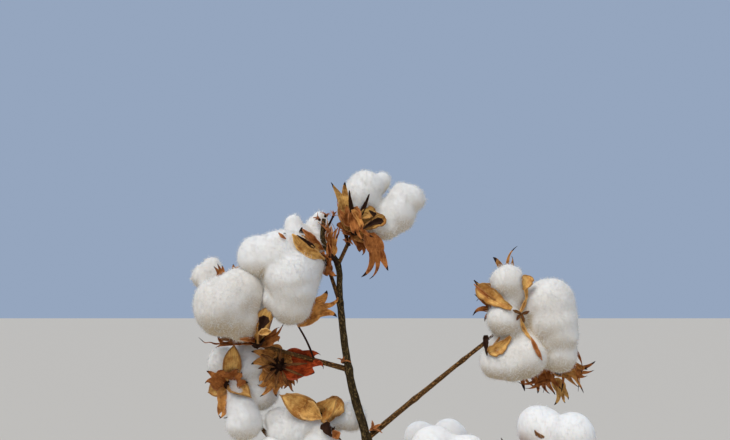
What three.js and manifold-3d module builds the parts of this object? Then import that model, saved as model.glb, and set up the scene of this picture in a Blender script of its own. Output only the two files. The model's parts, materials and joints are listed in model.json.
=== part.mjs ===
// Cotton plant at harvest, in millimetres, +Z up, origin at the centre of the flat cut under its stem.
// One leafless main stem carries tapering boughs. Each boll is two solids: a burr, which is its stalk,
// woody valves and toothed bracts fused together, and the lint, which is the white locks fused together.
// Every solid is cut clear of the ones before it, so that neighbours meet with a small even gap.
import * as THREE from "three";
import { mergeVertices } from "three/addons/utils/BufferGeometryUtils.js";
import Module from "manifold-3d";

const wasm = await Module();
wasm.setup();

// Driving dimensions
const GAP = 0.3;
const SIMPLIFY = 0.25; // how far a face may move when small facets are merged
const CANOPY_Z = 736; // height at which the stem's lower bend ends
const CANOPY_LEAN = -70; // how far the stem has leant over by then
const STEM_SWAY = 10;
const STEM_TOP = 911;
const STEM_FOOT_RADIUS = 7;
const STEM_TIP_RADIUS = 1.5;
const STEM_TAPER = 0.62;
const FLARE = 4.5; // extra radius of the root flare at the ground
const FLARE_HEIGHT = 16;
const INTERNODE = 52; // length of a bough between two of its nodes
const BOUGH_TIP_RADIUS = 1.4;
const VALVE_THICK = 1.2;
const BRACT_THICK = 0.6;
const CUP_RADIUS = 5; // of the burr's middle
const BOLL_LENGTH = 46; // a lock's reach from the middle of its burr
const LOCK_WIDTH = 33;
const LOCK_START = 0.1; // share of its reach at which a lock starts
const LOCK_OUT = 46; // degrees by which a lock leans out from its boll's axis
const LOCK_BASE = 4; // how far in front of the burr's middle the locks' ways start
const VALVE_LENGTH = 34;
const VALVE_WIDTH = 17;
const VALVE_OUT = 62;
const BRACT_LENGTH = 40;
const BRACT_WIDTH = 28;
const BRACT_OUT = 104;
const BRACT_BOW = 4;
const HEART_OUT = 13; // how far along a boll's axis its lint is held together
const HEART_RADIUS = 9;
const TWIG_RADIUS = 0.9; // of the stem's side twig and the dry leaf's stalk
const TWIG_HEIGHT = 899;
const BUD_FOOT = 872; // height on the stem of the dry bud's stalk
const BUD_LENGTH = 28;
const LEAF_AT = 0.4; // share of the left bough at which the dry leaf's stalk starts

// The stem's nodes above its lower bend, as distances across and up
const STEM_NODES = [
  [-79, 767],
  [-84.5, 791],
  [-91.7, 846],
  [-93.5, 875],
  [-105, 892],
  [-104.5, STEM_TOP],
];

// Boughs, from the top down: height on the stem, azimuth and rise in degrees, length, droop over that
// length and radius at the foot. Bolls sit at a share of the bough, 1 being its tip, and stalk is the
// length of a boll's own stalk, whose way is out where it is given. Where a boll has locks, valves or
// bracts of its own, each is the way from the middle of the burr to its far end, followed by its width.
// After that, a lock may have the share of its way at which it starts, and a valve or bract the way it
// faces, where that isn't along the boll's axis.
const BOUGHS = [
  {
    name: "fork_bough", height: 874, azimuth: 0, rise: 72, droop: 14, length: 22, radius: 1.7,
    bolls: [{
      at: 1, stalk: 9, axis: [0.68, -0.2, 0.7], fine: true, seed: 3,
      locks: [
        [7, -6, 48, 33],
        [24, 4, 46, 17, 0.5],
        [53, -4, 24, 29],
        [43, -3, 31, 19, 0.6],
        [41, -6, 1, 27],
        [46, -4, 9, 24, 0.5],
      ],
      valves: [
        [17, -19, 13, 14, [0.2, -1, 0.5]],
        [25, -17, 8, 12, [-0.1, -0.7, 1]],
        [-13, -11, 13, 13, [0.4, -1, 0.2]],
        [10, 18, 24, 15, [0, 1, 1]],
      ],
      bracts: [
        [-14, -10, 42, 16, [0.3, -1, 0.1]],
        [14, -12, -43, 15, [0.2, -1, 0]],
        [19, -9, -11, 13, [0, -1, 0.3]],
        [-14, -9, 12, 13, [0.3, -1, 0.3]],
      ],
    }],
  },
  {
    name: "back_bough", height: 843, azimuth: 180, rise: 72, droop: 0, length: 27, radius: 1.7,
    bolls: [{
      at: 1, stalk: 10, axis: [-0.93, -0.25, 0.25], fine: true, seed: 8,
      locks: [
        [-62, -9, 5, 40],
        [-42, -14, 14, 34],
        [-31, -34, -21, 43],
        [-34, -21, -49, 34],
        [-52, -17, -22, 30],
        [-26, 10, 36, 14],
        [-28, 8, 26, 20],
        [-1, 21, 36, 24],
        [1, 14, 41, 11],
      ],
      valves: [
        [-24, -15, 22, 12, [0.3, -1, 0.8]],
        [-8, -20, 10, 12, [0.3, -1, 0.8]],
        [-20, 16, -20, 15, [-1, 1, 0]],
        [-14, 20, 20, 15, [-1, 1, 0]],
      ],
      bracts: [
        [-34, -9, 24, 9, [0, -1, 0.3]],
        [6, -8, 8, 14, [-0.3, -1, 0]],
        [3, -8, -16, 12, [0.6, -0.8, 0]],
      ],
    }],
  },
  {
    name: "left_bough", height: 791, azimuth: 180, rise: 17, droop: 3, length: 70, radius: 2.3,
    bolls: [{
      at: 1, stalk: 7, axis: [-0.6, -0.1, 0.8], fine: true, seed: 5,
      locks: [
        [-33, -19, 51, 57, 0.3],
        [-51, 35, 57, 22, 0.5],
        [-42, 36, 64, 16, 0.5],
        [-8, 30, 38, 32],
        [-40, 22, 22, 28],
      ],
      valves: [
        [14, -20, 30, 14, [-0.2, -1, 0.2]],
        [5, -20, 14, 12, [-0.5, -0.6, 0.8]],
        [10, 18, 24, 15, [-1, 1, 0]],
        [-30, 14, 4, 15, [-1, 1, 1]],
      ],
      bracts: [
        [-42, -12, 0, 9, [0, -0.6, 1]],
        [25, -9, 7, 13, [0, -1, 0.4]],
        [-30, 24, 60, 10, [0, -1, 0.2]],
      ],
    }],
  },
  {
    name: "right_bough", height: 737, azimuth: 5, rise: 39, droop: 2, length: 148, radius: 2.4,
    bolls: [{
      at: 1, stalk: 10, axis: [-0.05, -1, 0.05], fine: true, seed: 6,
      locks: [
        [-20, -19, 34, 32],
        [-27, -22, -6, 29],
        [-28, -13, -48, 28],
        [-12, -16, -51, 34],
        [2, -20, -49, 34],
        [38, -19, 18, 40],
        [40, -16, -10, 34],
        [38, -11, -41, 31],
      ],
      valves: [
        [-36, -16, 26, 13, [0.1, -1, 0.2]],
        [8, -20, 33, 11, [-0.4, -1, 0.2]],
        [-28, -18, -31, 14, [0.1, -1, -0.2]],
      ],
      bracts: [
        [-11, 2, 52, 12, [0, -1, 0.2]],
        [-40, -8, 15, 26, [0.2, -1, 0]],
        [28, 6, -66, 30, [0, -1, 0.3]],
        [56, 6, -50, 24, [-0.3, -1, 0.3]],
        [8, 12, -62, 18, [0, -1, 0]],
      ],
    }],
  },
  {
    name: "low_left_bough", height: 688, azimuth: 169, rise: 55, droop: 4, length: 75, radius: 2.2,
    bolls: [{
      at: 1, stalk: 9, out: [-0.6, 0, 0.8], axis: [0.05, -0.6, -0.75], fine: true, seed: 11,
      locks: [
        [-38, -10, -18, 36],
        [-44, 0, -3, 20],
        [0, -19, -38, 32],
        [36, 8, 0, 26],
        [8, 30, -16, 24],
      ],
      valves: [
        [-31, -12, 15, 18, [0.1, -1, 0.3]],
        [21, -13, 14, 17, [0, -1, 0.3]],
        [3, -15, -12, 12, [0, -1, -0.3]],
        [4, 18, 14, 15, [0, 1, 0.4]],
      ],
      bracts: [
        [-20, 22, -12, 18, [0, 1, 0.4]],
        [20, 24, -16, 16, [0, 1, 0.4]],
        [10, -20, -22, 12, [0, -1, 0]],
      ],
    }],
  },
  {
    name: "bough_06", height: 645, azimuth: 325, rise: 40, droop: 14, length: 140, radius: 2.5,
    bolls: [
      { at: 1, stalk: 11, tilt: 40, seed: 21 },
      { at: 0.45, stalk: 24, tilt: 30, seed: 22 },
    ],
  },
  {
    name: "bough_07", height: 601, azimuth: 177, rise: 55, droop: 10, length: 219, radius: 2.7,
    bolls: [
      {
        at: 1, stalk: 11, axis: [0.5, 0.1, 0.6], seed: 31,
        locks: [
          [28, 12, 25, 38],
          [35, 9, -17, 29],
          [14, -16, -46, 30],
          [-16, 26, 20, 26],
        ],
        valves: [
          [4, -10, 33, 11, [0, -1, 0.2]],
          [18, -17, -7, 13, [0, -1, 0.6]],
          [-17, -6, -6, 12, [0, -1, 0.4]],
          [-4, 18, 22, 15, [0, 1, 0]],
        ],
        bracts: [
          [-17, -15, 17, 19, [0, -1, 0]],
          [16, -17, 13, 18, [0, -1, 0]],
          [-5, -12, -30, 17, [0, -1, 0]],
        ],
      },
      { at: 0.5, stalk: 22, tilt: 55, seed: 32 },
    ],
  },
  {
    name: "bough_08", height: 556, azimuth: 78, rise: 50, droop: 16, length: 184, radius: 2.7,
    bolls: [{ at: 1, stalk: 11, tilt: 35, seed: 41 }],
  },
  {
    name: "bough_09", height: 512, azimuth: 258, rise: 42, droop: 20, length: 170, radius: 2.7,
    bolls: [{ at: 1, stalk: 11, tilt: 50, seed: 51 }],
  },
  {
    name: "bough_10", height: 468, azimuth: 18, rise: 44, droop: 22, length: 208, radius: 2.8,
    bolls: [
      { at: 1, stalk: 11, tilt: 45, seed: 61 },
      { at: 0.5, stalk: 24, tilt: 30, seed: 62 },
    ],
  },
  {
    name: "bough_11", height: 424, azimuth: 144, rise: 42, droop: 22, length: 214, radius: 2.9,
    bolls: [{ at: 1, stalk: 11, tilt: 40, seed: 71 }],
  },
  {
    name: "bough_12", height: 380, azimuth: 292, rise: 38, droop: 22, length: 200, radius: 2.9,
    bolls: [{ at: 1, stalk: 11, tilt: 55, seed: 81 }],
  },
  {
    name: "bough_13", height: 338, azimuth: 205, rise: 38, droop: 20, length: 214, radius: 3,
    bolls: [{ at: 1, stalk: 11, tilt: 35, seed: 91 }],
  },
  {
    name: "bough_14", height: 296, azimuth: 52, rise: 36, droop: 20, length: 196, radius: 3,
    bolls: [{ at: 1, stalk: 11, tilt: 45, seed: 101 }],
  },
  {
    name: "basal_bough", height: 215, azimuth: 345, rise: 52, droop: 12, length: 238, radius: 3.4,
    bolls: [{ at: 1, stalk: 12, tilt: 30, seed: 111 }],
  },
];

// A burr that has lost its lint, behind and under the left bough
const EMPTY_BURR = {
  at: 0.82, stalk: 15, out: [0, 0.5, -0.86], axis: [-0.1, -0.95, -0.2], fine: true, seed: 13,
  locks: [],
  valves: [
    [-9, -10, 6, 8],
    [3, -10, 9, 7],
    [8, -11, -2, 7],
    [-4, -11, -8, 8],
  ],
  bracts: [
    [41, -9, 3, 26, [0, -1, 0.2]],
    [-16, -5, -22, 24, [0, -1, 0.2]],
    [-23, -3, 12, 24, [0, -1, 0.2]],
    [10, -4, -22, 18, [0, -1, 0]],
    [4, -6, 15, 16, [0, -1, 0]],
  ],
};

const COLOURS = {
  bark: 0x4a3a2c,
  burr: 0xa8703a,
  lint: 0xf1efe9,
  leaf: 0xa85a24,
};

const UP = new THREE.Vector3(0, 0, 1);
const radians = THREE.MathUtils.degToRad;

// The same number from 0 to 1 for the same seed and index, so that every build is alike.
function chance(seed, index) {
  const raw = Math.sin(seed * 12.9898 + index * 78.233) * 43758.5453;
  return raw - Math.floor(raw);
}

function spread(seed, index, low, high) {
  return low + (high - low) * chance(seed, index);
}

function heading(azimuthDeg, riseDeg) {
  const azimuth = radians(azimuthDeg);
  const rise = radians(riseDeg);
  return new THREE.Vector3(
    Math.cos(rise) * Math.cos(azimuth),
    Math.cos(rise) * Math.sin(azimuth),
    Math.sin(rise),
  );
}

// Turns a three.js geometry into a closed solid.
function closed(geometry) {
  geometry.deleteAttribute("normal");
  geometry.deleteAttribute("uv");
  const merged = mergeVertices(geometry, 1e-3);
  return new wasm.Manifold(
    new wasm.Mesh({
      numProp: 3,
      vertProperties: merged.getAttribute("position").array,
      triVerts: new Uint32Array(merged.index.array),
    }),
  );
}

// Moves every vertex of a three.js geometry by a function and returns it as a closed solid.
function shaped(geometry, place) {
  const position = geometry.getAttribute("position");
  const vertex = new THREE.Vector3();
  for (let i = 0; i < position.count; i++) {
    vertex.fromBufferAttribute(position, i);
    const at = place(vertex);
    position.setXYZ(i, at.x, at.y, at.z);
  }
  return closed(geometry);
}

// A thin solid around a sheet of triangles. Its rim, given in order, is pushed out by extra.
function thickened(points, faces, rim, thickness, extra) {
  const normals = points.map(() => new THREE.Vector3());
  faces.forEach(([a, b, c]) => {
    const ab = points[b].clone().sub(points[a]);
    const normal = points[c].clone().sub(points[a]).cross(ab).negate();
    [a, b, c].forEach((i) => normals[i].add(normal));
  });
  normals.forEach((normal) => normal.normalize());
  const wider = points.map((point) => point.clone());
  rim.forEach((i, k) => {
    const before = points[rim[(k + rim.length - 1) % rim.length]];
    const after = points[rim[(k + 1) % rim.length]];
    const out = after.clone().sub(before).cross(normals[i]).normalize();
    wider[i].addScaledVector(out, 1.5 * extra);
  });
  const half = thickness / 2 + extra;
  const sheet = (side) => wider.map((at, i) => at.clone().addScaledVector(normals[i], side * half));
  const corners = [...sheet(1), ...sheet(-1)];
  const under = points.length;
  const triangles = [...faces, ...faces.map(([a, b, c]) => [a + under, c + under, b + under])];
  rim.forEach((a, k) => {
    const b = rim[(k + 1) % rim.length];
    triangles.push([b, a, a + under], [b, a + under, b + under]);
  });
  const geometry = new THREE.BufferGeometry().setFromPoints(corners);
  geometry.setIndex(triangles.flat());
  return closed(geometry);
}

function fused(solids) {
  return wasm.Manifold.union(solids);
}

// The largest body of a solid, with any loose scrap or sealed hollow dropped.
function largest(solid) {
  const bodies = solid.decompose();
  return bodies.reduce((best, body) => (body.volume() > best.volume() ? body : best));
}

// A round limb along a curve, its radius given by a function of the share of its length.
function limb(curve, radiusAt, sides, steps, extra) {
  return shaped(new THREE.CylinderGeometry(1, 1, 1, sides, steps), (v) => {
    const share = v.y + 0.5;
    const along = curve.getTangentAt(share);
    const level = Math.abs(along.z) > 0.9 ? new THREE.Vector3(0, 1, 0) : UP;
    const side = new THREE.Vector3().crossVectors(level, along).normalize();
    const other = new THREE.Vector3().crossVectors(side, along);
    const radius = radiusAt(share) + extra;
    const end = share > 0.999 ? extra : 0;
    return curve
      .getPointAt(share)
      .addScaledVector(side, v.x * radius)
      .addScaledVector(other, v.z * radius)
      .addScaledVector(along, end);
  });
}

// A woody valve: a pointed boat with a keel, which cups towards the way it faces.
function valve(middle, { reach, width, facing }, extra) {
  const side = new THREE.Vector3().crossVectors(facing, reach).normalize();
  const cup = facing.clone().normalize().multiplyScalar(0.1 * width);
  const half = middle.clone().addScaledVector(reach, 0.5);
  const points = [
    half.clone().sub(cup),
    middle.clone(),
    half.clone().add(cup).addScaledVector(side, -width / 2),
    middle.clone().add(reach),
    half.clone().add(cup).addScaledVector(side, width / 2),
  ];
  const rim = [1, 2, 3, 4];
  const faces = rim.map((a, i) => [0, a, rim[(i + 1) % rim.length]]);
  return thickened(points, faces, rim, VALVE_THICK, extra);
}

// A dry leaf-like blade, its far half cut into long teeth. It bows and cups towards its facing.
function toothedBlade(base, { reach, width, facing }, bow, teeth, extra) {
  const side = new THREE.Vector3().crossVectors(reach, facing).normalize();
  const face = new THREE.Vector3().crossVectors(side, reach).normalize();
  const at = (across, share) =>
    base
      .clone()
      .addScaledVector(reach, share)
      .addScaledVector(side, across * width)
      .addScaledVector(face, bow * (4 * share * (1 - share) + 4 * across * across));
  const points = [at(0, 0.45), at(0, 0), at(0.46, 0.3)];
  for (let i = 0; i < 2 * teeth - 1; i++) {
    const turn = radians(-60 + (120 * i) / (2 * teeth - 2));
    const out = i % 2 === 0 ? 0.4 + 0.2 * Math.cos(turn) : 0.3;
    points.push(at(-0.9 * out * Math.sin(turn), 0.4 + out * Math.cos(turn)));
  }
  points.push(at(-0.46, 0.3));
  const rim = points.slice(1).map((_, i) => i + 1);
  const faces = rim.map((a, i) => [0, a, rim[(i + 1) % rim.length]]);
  return thickened(points, faces, rim, BRACT_THICK, extra);
}

// The balls that a lock of lint is made of, from its narrow end at the burr to its broad far end.
function lockBalls(base, { reach, width, start = LOCK_START }) {
  const far = Math.max(0.3, 1 - width / 2 / reach.length());
  return [0, 1 / 3, 2 / 3, 1].map((t) => ({
    centre: base.clone().addScaledVector(reach, start + (far - start) * t),
    radius: (width / 2) * (0.36 + 0.62 * t ** 0.75),
  }));
}

// How far a ray from a point runs before it leaves a ball, or 0 where it misses.
function ballExit(from, way, { centre, radius }, extra) {
  const to = centre.clone().sub(from);
  const half = to.dot(way);
  const root = half * half - to.lengthSq() + (radius + extra) ** 2;
  return root > 0 ? Math.max(0, half + Math.sqrt(root)) : 0;
}

function stemAcross(height) {
  return CANOPY_LEAN * (height / CANOPY_Z) ** 3;
}

function stemCurve() {
  const points = [new THREE.Vector3(0, -0.4, -10)];
  const lower = 7;
  for (let i = 0; i <= lower; i++) {
    const height = (CANOPY_Z * i) / lower;
    const depth = STEM_SWAY * Math.sin((Math.PI * height) / CANOPY_Z);
    points.push(new THREE.Vector3(stemAcross(height), depth, height));
  }
  STEM_NODES.forEach(([across, height]) => points.push(new THREE.Vector3(across, 0, height)));
  return new THREE.CatmullRomCurve3(points, false, "centripetal");
}

const STEM = stemCurve();

function stemRadius(height) {
  const taper = Math.max(0, 1 - height / STEM_TOP) ** STEM_TAPER;
  const flare = FLARE * Math.exp(-height / FLARE_HEIGHT);
  return STEM_TIP_RADIUS + (STEM_FOOT_RADIUS - STEM_TIP_RADIUS) * taper + flare;
}

// The point of the stem's centre line at a height.
function stemAt(height) {
  let low = 0;
  let high = 1;
  for (let i = 0; i < 24; i++) {
    const middle = (low + high) / 2;
    if (STEM.getPointAt(middle).z < height) low = middle;
    else high = middle;
  }
  return STEM.getPointAt(low);
}

// The stem ends in a tuft of small buds, and a side twig with one more leaves it just below.
function stem(extra) {
  const sides = 9;
  const steps = 32;
  const bare = limb(STEM, (share) => stemRadius(STEM.getPointAt(share).z), sides, steps, extra);
  const top = STEM.getPointAt(1);
  const twigFoot = stemAt(TWIG_HEIGHT);
  const twigTop = top.clone().add(new THREE.Vector3(8, -2, 3));
  const twig = new THREE.LineCurve3(twigFoot, twigTop);
  const buds = [top, top.clone().add(new THREE.Vector3(-3, 0, 1)), twigTop].map((at) =>
    shaped(new THREE.SphereGeometry(1, 6, 4), (v) =>
      at.clone().addScaledVector(v, (v.z > 0 ? 3 : 2) + extra),
    ),
  );
  const whole = fused([bare, limb(twig, () => TWIG_RADIUS, 5, 2, extra), ...buds]);
  return extra ? whole : whole.trimByPlane([0, 0, 1], 0);
}

// A bough climbs from the stem's centre, swings to and fro at its nodes and droops towards its tip.
function boughCurve(bough) {
  const internodes = Math.max(1, Math.round(bough.length / INTERNODE));
  const at = stemAt(bough.height);
  const points = [at.clone()];
  for (let i = 0; i < internodes; i++) {
    const share = (i + 0.5) / internodes;
    const swing = internodes > 3 ? (i % 2 ? -7 : 7) : 0;
    const way = heading(bough.azimuth + swing, bough.rise - bough.droop * share);
    at.addScaledVector(way, bough.length / internodes);
    points.push(at.clone());
  }
  if (points.length === 2) points.splice(1, 0, points[0].clone().lerp(points[1], 0.5));
  return new THREE.CatmullRomCurve3(points, false, "centripetal");
}

function boughSolid(bough, curve, extra) {
  const steps = Math.max(2, Math.round(bough.length / 24));
  const radiusAt = (share) => bough.radius + (BOUGH_TIP_RADIUS - bough.radius) * share;
  return limb(curve, radiusAt, 7, steps, extra);
}

// Where a boll sits: the foot of its stalk on the bough, the middle of its burr, and its axis.
function bollPlace(boll, bough, curve) {
  const foot = curve.getPointAt(boll.at);
  const around = bough.azimuth + spread(boll.seed, 1, -70, 70);
  const axis = boll.axis ? new THREE.Vector3(...boll.axis).normalize() : heading(around, 90 - boll.tilt);
  const ends = boll.at === 1;
  const tangent = curve.getTangentAt(boll.at);
  let out = ends ? tangent.clone().lerp(axis, 0.35).normalize() : axis;
  if (boll.out) out = new THREE.Vector3(...boll.out).normalize();
  const middle = foot.clone().addScaledVector(out, boll.stalk);
  return { foot, leave: ends ? tangent : out, middle, axis };
}

// Ways from the middle of the burr, evenly round the axis, each turned out from it by an angle.
function waysRound(axis, count, turn, outDeg, length, seed) {
  const tip = new THREE.Quaternion().setFromUnitVectors(UP, axis);
  const ways = [];
  for (let i = 0; i < count; i++) {
    const azimuth = turn + (360 * i) / count + spread(seed, 10 + i, -9, 9);
    const out = outDeg + spread(seed, 20 + i, -9, 9);
    const reach = length * spread(seed, 30 + i, 0.88, 1.1);
    ways.push(heading(azimuth, 90 - out).applyQuaternion(tip).multiplyScalar(reach));
  }
  return ways;
}

// The locks, valves and bracts of a boll. Valves lie between locks, and bracts hang behind them.
function bollForm(boll, axis) {
  const turn = spread(boll.seed, 2, 0, 360);
  const lock = ([x, y, z, width, start]) => ({ reach: new THREE.Vector3(x, y, z), width, start });
  const blade = ([x, y, z, width, facing]) => ({
    reach: new THREE.Vector3(x, y, z),
    width,
    facing: facing ? new THREE.Vector3(...facing) : axis,
  });
  const evenly = (reaches, widthAt) =>
    reaches.map((reach, i) => ({ reach, width: widthAt(i), facing: axis }));
  const { locks, valves, bracts, seed } = boll;
  return {
    locks: locks
      ? locks.map(lock)
      : evenly(waysRound(axis, 4, turn, LOCK_OUT, BOLL_LENGTH, seed), (i) =>
          LOCK_WIDTH * spread(seed, 40 + i, 0.9, 1.15),
        ),
    valves: valves
      ? valves.map(blade)
      : evenly(
          waysRound(axis, 4, turn + 45, VALVE_OUT, VALVE_LENGTH, seed + 1),
          () => VALVE_WIDTH,
        ),
    bracts: bracts
      ? bracts.map(blade)
      : evenly(
          waysRound(axis, 3, turn + 20, BRACT_OUT, BRACT_LENGTH, seed + 2),
          () => BRACT_WIDTH,
        ),
  };
}

function burrSolid(boll, place, form, extra) {
  const { foot, leave, middle, axis } = place;
  const bend = foot.clone().addScaledVector(leave, boll.stalk * 0.5);
  const stalk = new THREE.QuadraticBezierCurve3(foot, bend, middle);
  const cup = shaped(new THREE.SphereGeometry(1, 6, 3), (v) =>
    middle.clone().addScaledVector(axis, -1).addScaledVector(v, CUP_RADIUS + extra),
  );
  const behind = middle.clone().addScaledVector(axis, -2);
  return fused([
    limb(stalk, () => BOUGH_TIP_RADIUS, 5, 2, extra),
    cup,
    ...form.valves.map((row) => valve(middle, row, extra)),
    ...form.bracts.map((row) => toothedBlade(behind, row, BRACT_BOW, 3, extra)),
  ]);
}

// The locks start a little out from the burr's middle and are held together by a round heart.
function lintSolid(boll, place, form, extra) {
  const base = place.middle.clone().addScaledVector(place.axis, LOCK_BASE);
  const heart = place.middle.clone().addScaledVector(place.axis, HEART_OUT);
  const balls = form.locks.flatMap((lock) => lockBalls(base, lock));
  return shaped(new THREE.IcosahedronGeometry(1, boll.fine ? 4 : 2), (v) => {
    const way = v.clone().normalize();
    const exits = balls.map((ball) => ballExit(heart, way, ball, extra));
    return heart.clone().addScaledVector(way, Math.max(HEART_RADIUS + extra, ...exits));
  });
}

// A dry leaf: a stalk from a bough and a toothed blade.
function dryLeafSolid(foot, knee, row, extra) {
  const stalk = new THREE.LineCurve3(foot, knee);
  const base = knee.clone().addScaledVector(row.reach, -0.08);
  const blade = toothedBlade(base, row, BRACT_BOW, 4, extra);
  return fused([limb(stalk, () => TWIG_RADIUS, 5, 2, extra), blade]);
}

// A dry flower bud: three toothed bracts that stand close together on a short stalk.
function budSolid(foot, knee, height, extra) {
  const stalk = new THREE.LineCurve3(foot, knee);
  const bracts = [0, 120, 240].map((azimuth) => {
    const facing = heading(azimuth, 0);
    const reach = UP.clone().multiplyScalar(height).addScaledVector(facing, height * 0.18);
    return toothedBlade(knee, { reach, width: height * 0.4, facing }, -1, 2, extra);
  });
  return fused([limb(stalk, () => 1, 5, 2, extra), ...bracts]);
}

const plant = new THREE.Group();
const placed = [];

function near(a, b) {
  return [0, 1, 2].every((i) => a.min[i] < b.max[i] && b.min[i] < a.max[i]);
}

// Adds a mesh made by make(extra), cut clear of every solid placed before it.
function add(name, colour, make) {
  let solid = make(0);
  for (const other of placed) {
    if (near(solid.boundingBox(), other.box)) solid = solid.subtract(other.grown);
  }
  solid = largest(solid.simplify(SIMPLIFY));
  const grown = make(GAP + SIMPLIFY);
  placed.push({ grown, box: grown.boundingBox() });
  const { vertProperties, triVerts } = solid.getMesh();
  const geometry = new THREE.BufferGeometry();
  geometry.setAttribute("position", new THREE.BufferAttribute(vertProperties, 3));
  geometry.setIndex(new THREE.BufferAttribute(triVerts, 1));
  geometry.computeVertexNormals();
  const material = new THREE.MeshStandardMaterial({ color: colour, roughness: 0.9, metalness: 0 });
  const mesh = new THREE.Mesh(geometry, material);
  mesh.name = name;
  plant.add(mesh);
}

add("main_stem", COLOURS.bark, stem);
const curves = new Map(BOUGHS.map((bough) => [bough.name, boughCurve(bough)]));
BOUGHS.forEach((bough) => {
  add(bough.name, COLOURS.bark, (extra) => boughSolid(bough, curves.get(bough.name), extra));
});
const bolls = BOUGHS.flatMap((bough) =>
  bough.bolls.map((boll) => {
    const place = bollPlace(boll, bough, curves.get(bough.name));
    return { boll, place, form: bollForm(boll, place.axis) };
  }),
);
const bollName = (i) => `boll_${String(i + 1).padStart(2, "0")}`;
bolls.forEach(({ boll, place, form }, i) => {
  add(`${bollName(i)}_lint`, COLOURS.lint, (extra) => lintSolid(boll, place, form, extra));
});
bolls.forEach(({ boll, place, form }, i) => {
  add(`${bollName(i)}_burr`, COLOURS.burr, (extra) => burrSolid(boll, place, form, extra));
});

const emptyPlace = bollPlace(EMPTY_BURR, BOUGHS[2], curves.get("left_bough"));
const emptyForm = bollForm(EMPTY_BURR, emptyPlace.axis);
add("empty_burr_1", COLOURS.burr, (extra) => burrSolid(EMPTY_BURR, emptyPlace, emptyForm, extra));

// A dry leaf on the left bough, and the dry flower bud at the fork
const leafFoot = curves.get("left_bough").getPointAt(LEAF_AT);
const leafKnee = new THREE.Vector3(-126, -8, 829);
const leafRow = {
  reach: new THREE.Vector3(37, 0, 15),
  width: 18,
  facing: new THREE.Vector3(0, -1, 0.2),
};
add("dry_leaf_1", COLOURS.leaf, (extra) => dryLeafSolid(leafFoot, leafKnee, leafRow, extra));
const budKnee = new THREE.Vector3(-96.5, -6, 881);
add("dry_bud_1", COLOURS.leaf, (extra) => budSolid(stemAt(BUD_FOOT), budKnee, BUD_LENGTH, extra));

export default plant;
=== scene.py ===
# Cotton plant at harvest, dressed on the frame of its solids. Lengths are in millimetres until a mesh
# is made, which is in metres. The plant's lines are worked out again by the rule of its solids, and
# its bark, lint, husks and dry bracts are grown finer along them.
import json
import math

import bpy
import bmesh
import numpy as np
from bpy.props import FloatProperty, FloatVectorProperty, IntProperty, PointerProperty
from mathutils.bvhtree import BVHTree
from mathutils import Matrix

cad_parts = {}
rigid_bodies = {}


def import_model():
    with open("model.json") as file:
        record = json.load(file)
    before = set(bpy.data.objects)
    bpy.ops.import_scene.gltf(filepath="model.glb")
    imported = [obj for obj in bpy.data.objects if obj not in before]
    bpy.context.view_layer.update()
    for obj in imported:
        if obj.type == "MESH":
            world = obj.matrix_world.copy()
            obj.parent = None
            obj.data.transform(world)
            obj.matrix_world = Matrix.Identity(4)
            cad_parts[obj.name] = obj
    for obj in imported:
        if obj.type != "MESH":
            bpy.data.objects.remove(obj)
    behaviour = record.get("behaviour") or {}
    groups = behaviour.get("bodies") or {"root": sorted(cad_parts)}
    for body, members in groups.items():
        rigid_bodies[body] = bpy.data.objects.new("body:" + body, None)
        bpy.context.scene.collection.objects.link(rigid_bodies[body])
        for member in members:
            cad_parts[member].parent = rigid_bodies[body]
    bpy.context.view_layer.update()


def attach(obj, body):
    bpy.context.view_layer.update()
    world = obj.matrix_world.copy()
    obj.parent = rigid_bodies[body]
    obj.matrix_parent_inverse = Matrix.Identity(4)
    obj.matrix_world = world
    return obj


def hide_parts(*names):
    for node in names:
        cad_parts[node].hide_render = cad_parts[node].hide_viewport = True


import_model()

bl_info = {
    "name": "Cotton plant",
    "version": (1, 0, 0),
    "blender": (4, 5, 0),
    "location": "3D View > Sidebar > Cotton",
    "description": "Dresses a cotton plant at harvest: bark, lint, husks and dry bracts",
    "category": "Add Mesh",
}

MM = 0.001
UP = np.array((0.0, 0.0, 1.0))

# Lines of the plant, as in its solids
CANOPY_Z = 736
CANOPY_LEAN = -70
STEM_SWAY = 10
STEM_TOP = 911
STEM_FOOT_RADIUS = 7
STEM_TIP_RADIUS = 1.5
STEM_TAPER = 0.62
FLARE = 4.5
FLARE_HEIGHT = 16
INTERNODE = 52
BOUGH_TIP_RADIUS = 1.4
BOLL_LENGTH = 46
LOCKS = 4
LOCK_WIDTH = 33
LOCK_LEAN = 46
VALVE_LENGTH = 34
VALVE_WIDTH = 17
VALVE_LEAN = 62
VALVE_BULGE = -0.1
BRACTS = 3
BRACT_LENGTH = 40
BRACT_WIDTH = 28
BRACT_LEAN = 104
BRACT_TURN = 20
CUP_RADIUS = 4.6

# Nodes of the stem above the canopy's foot, as (x, z), and heights of nodes that bear no bough
STEM_NODES = [(-79, 767), (-84.5, 791), (-91.7, 846), (-93.5, 875), (-105, 892), (-104.5, STEM_TOP)]
STEM_SCARS = [892, 170, 130, 92, 58]

# The camera stands in front of the plant, level with its top bolls, and looks up a little.
VIEWED_FROM = np.array((-71.6, -809.3, 854.0))
VIEW_PITCH = 3.949
VIEW_LENS = 50
VIEW_SENSOR = 36
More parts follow.
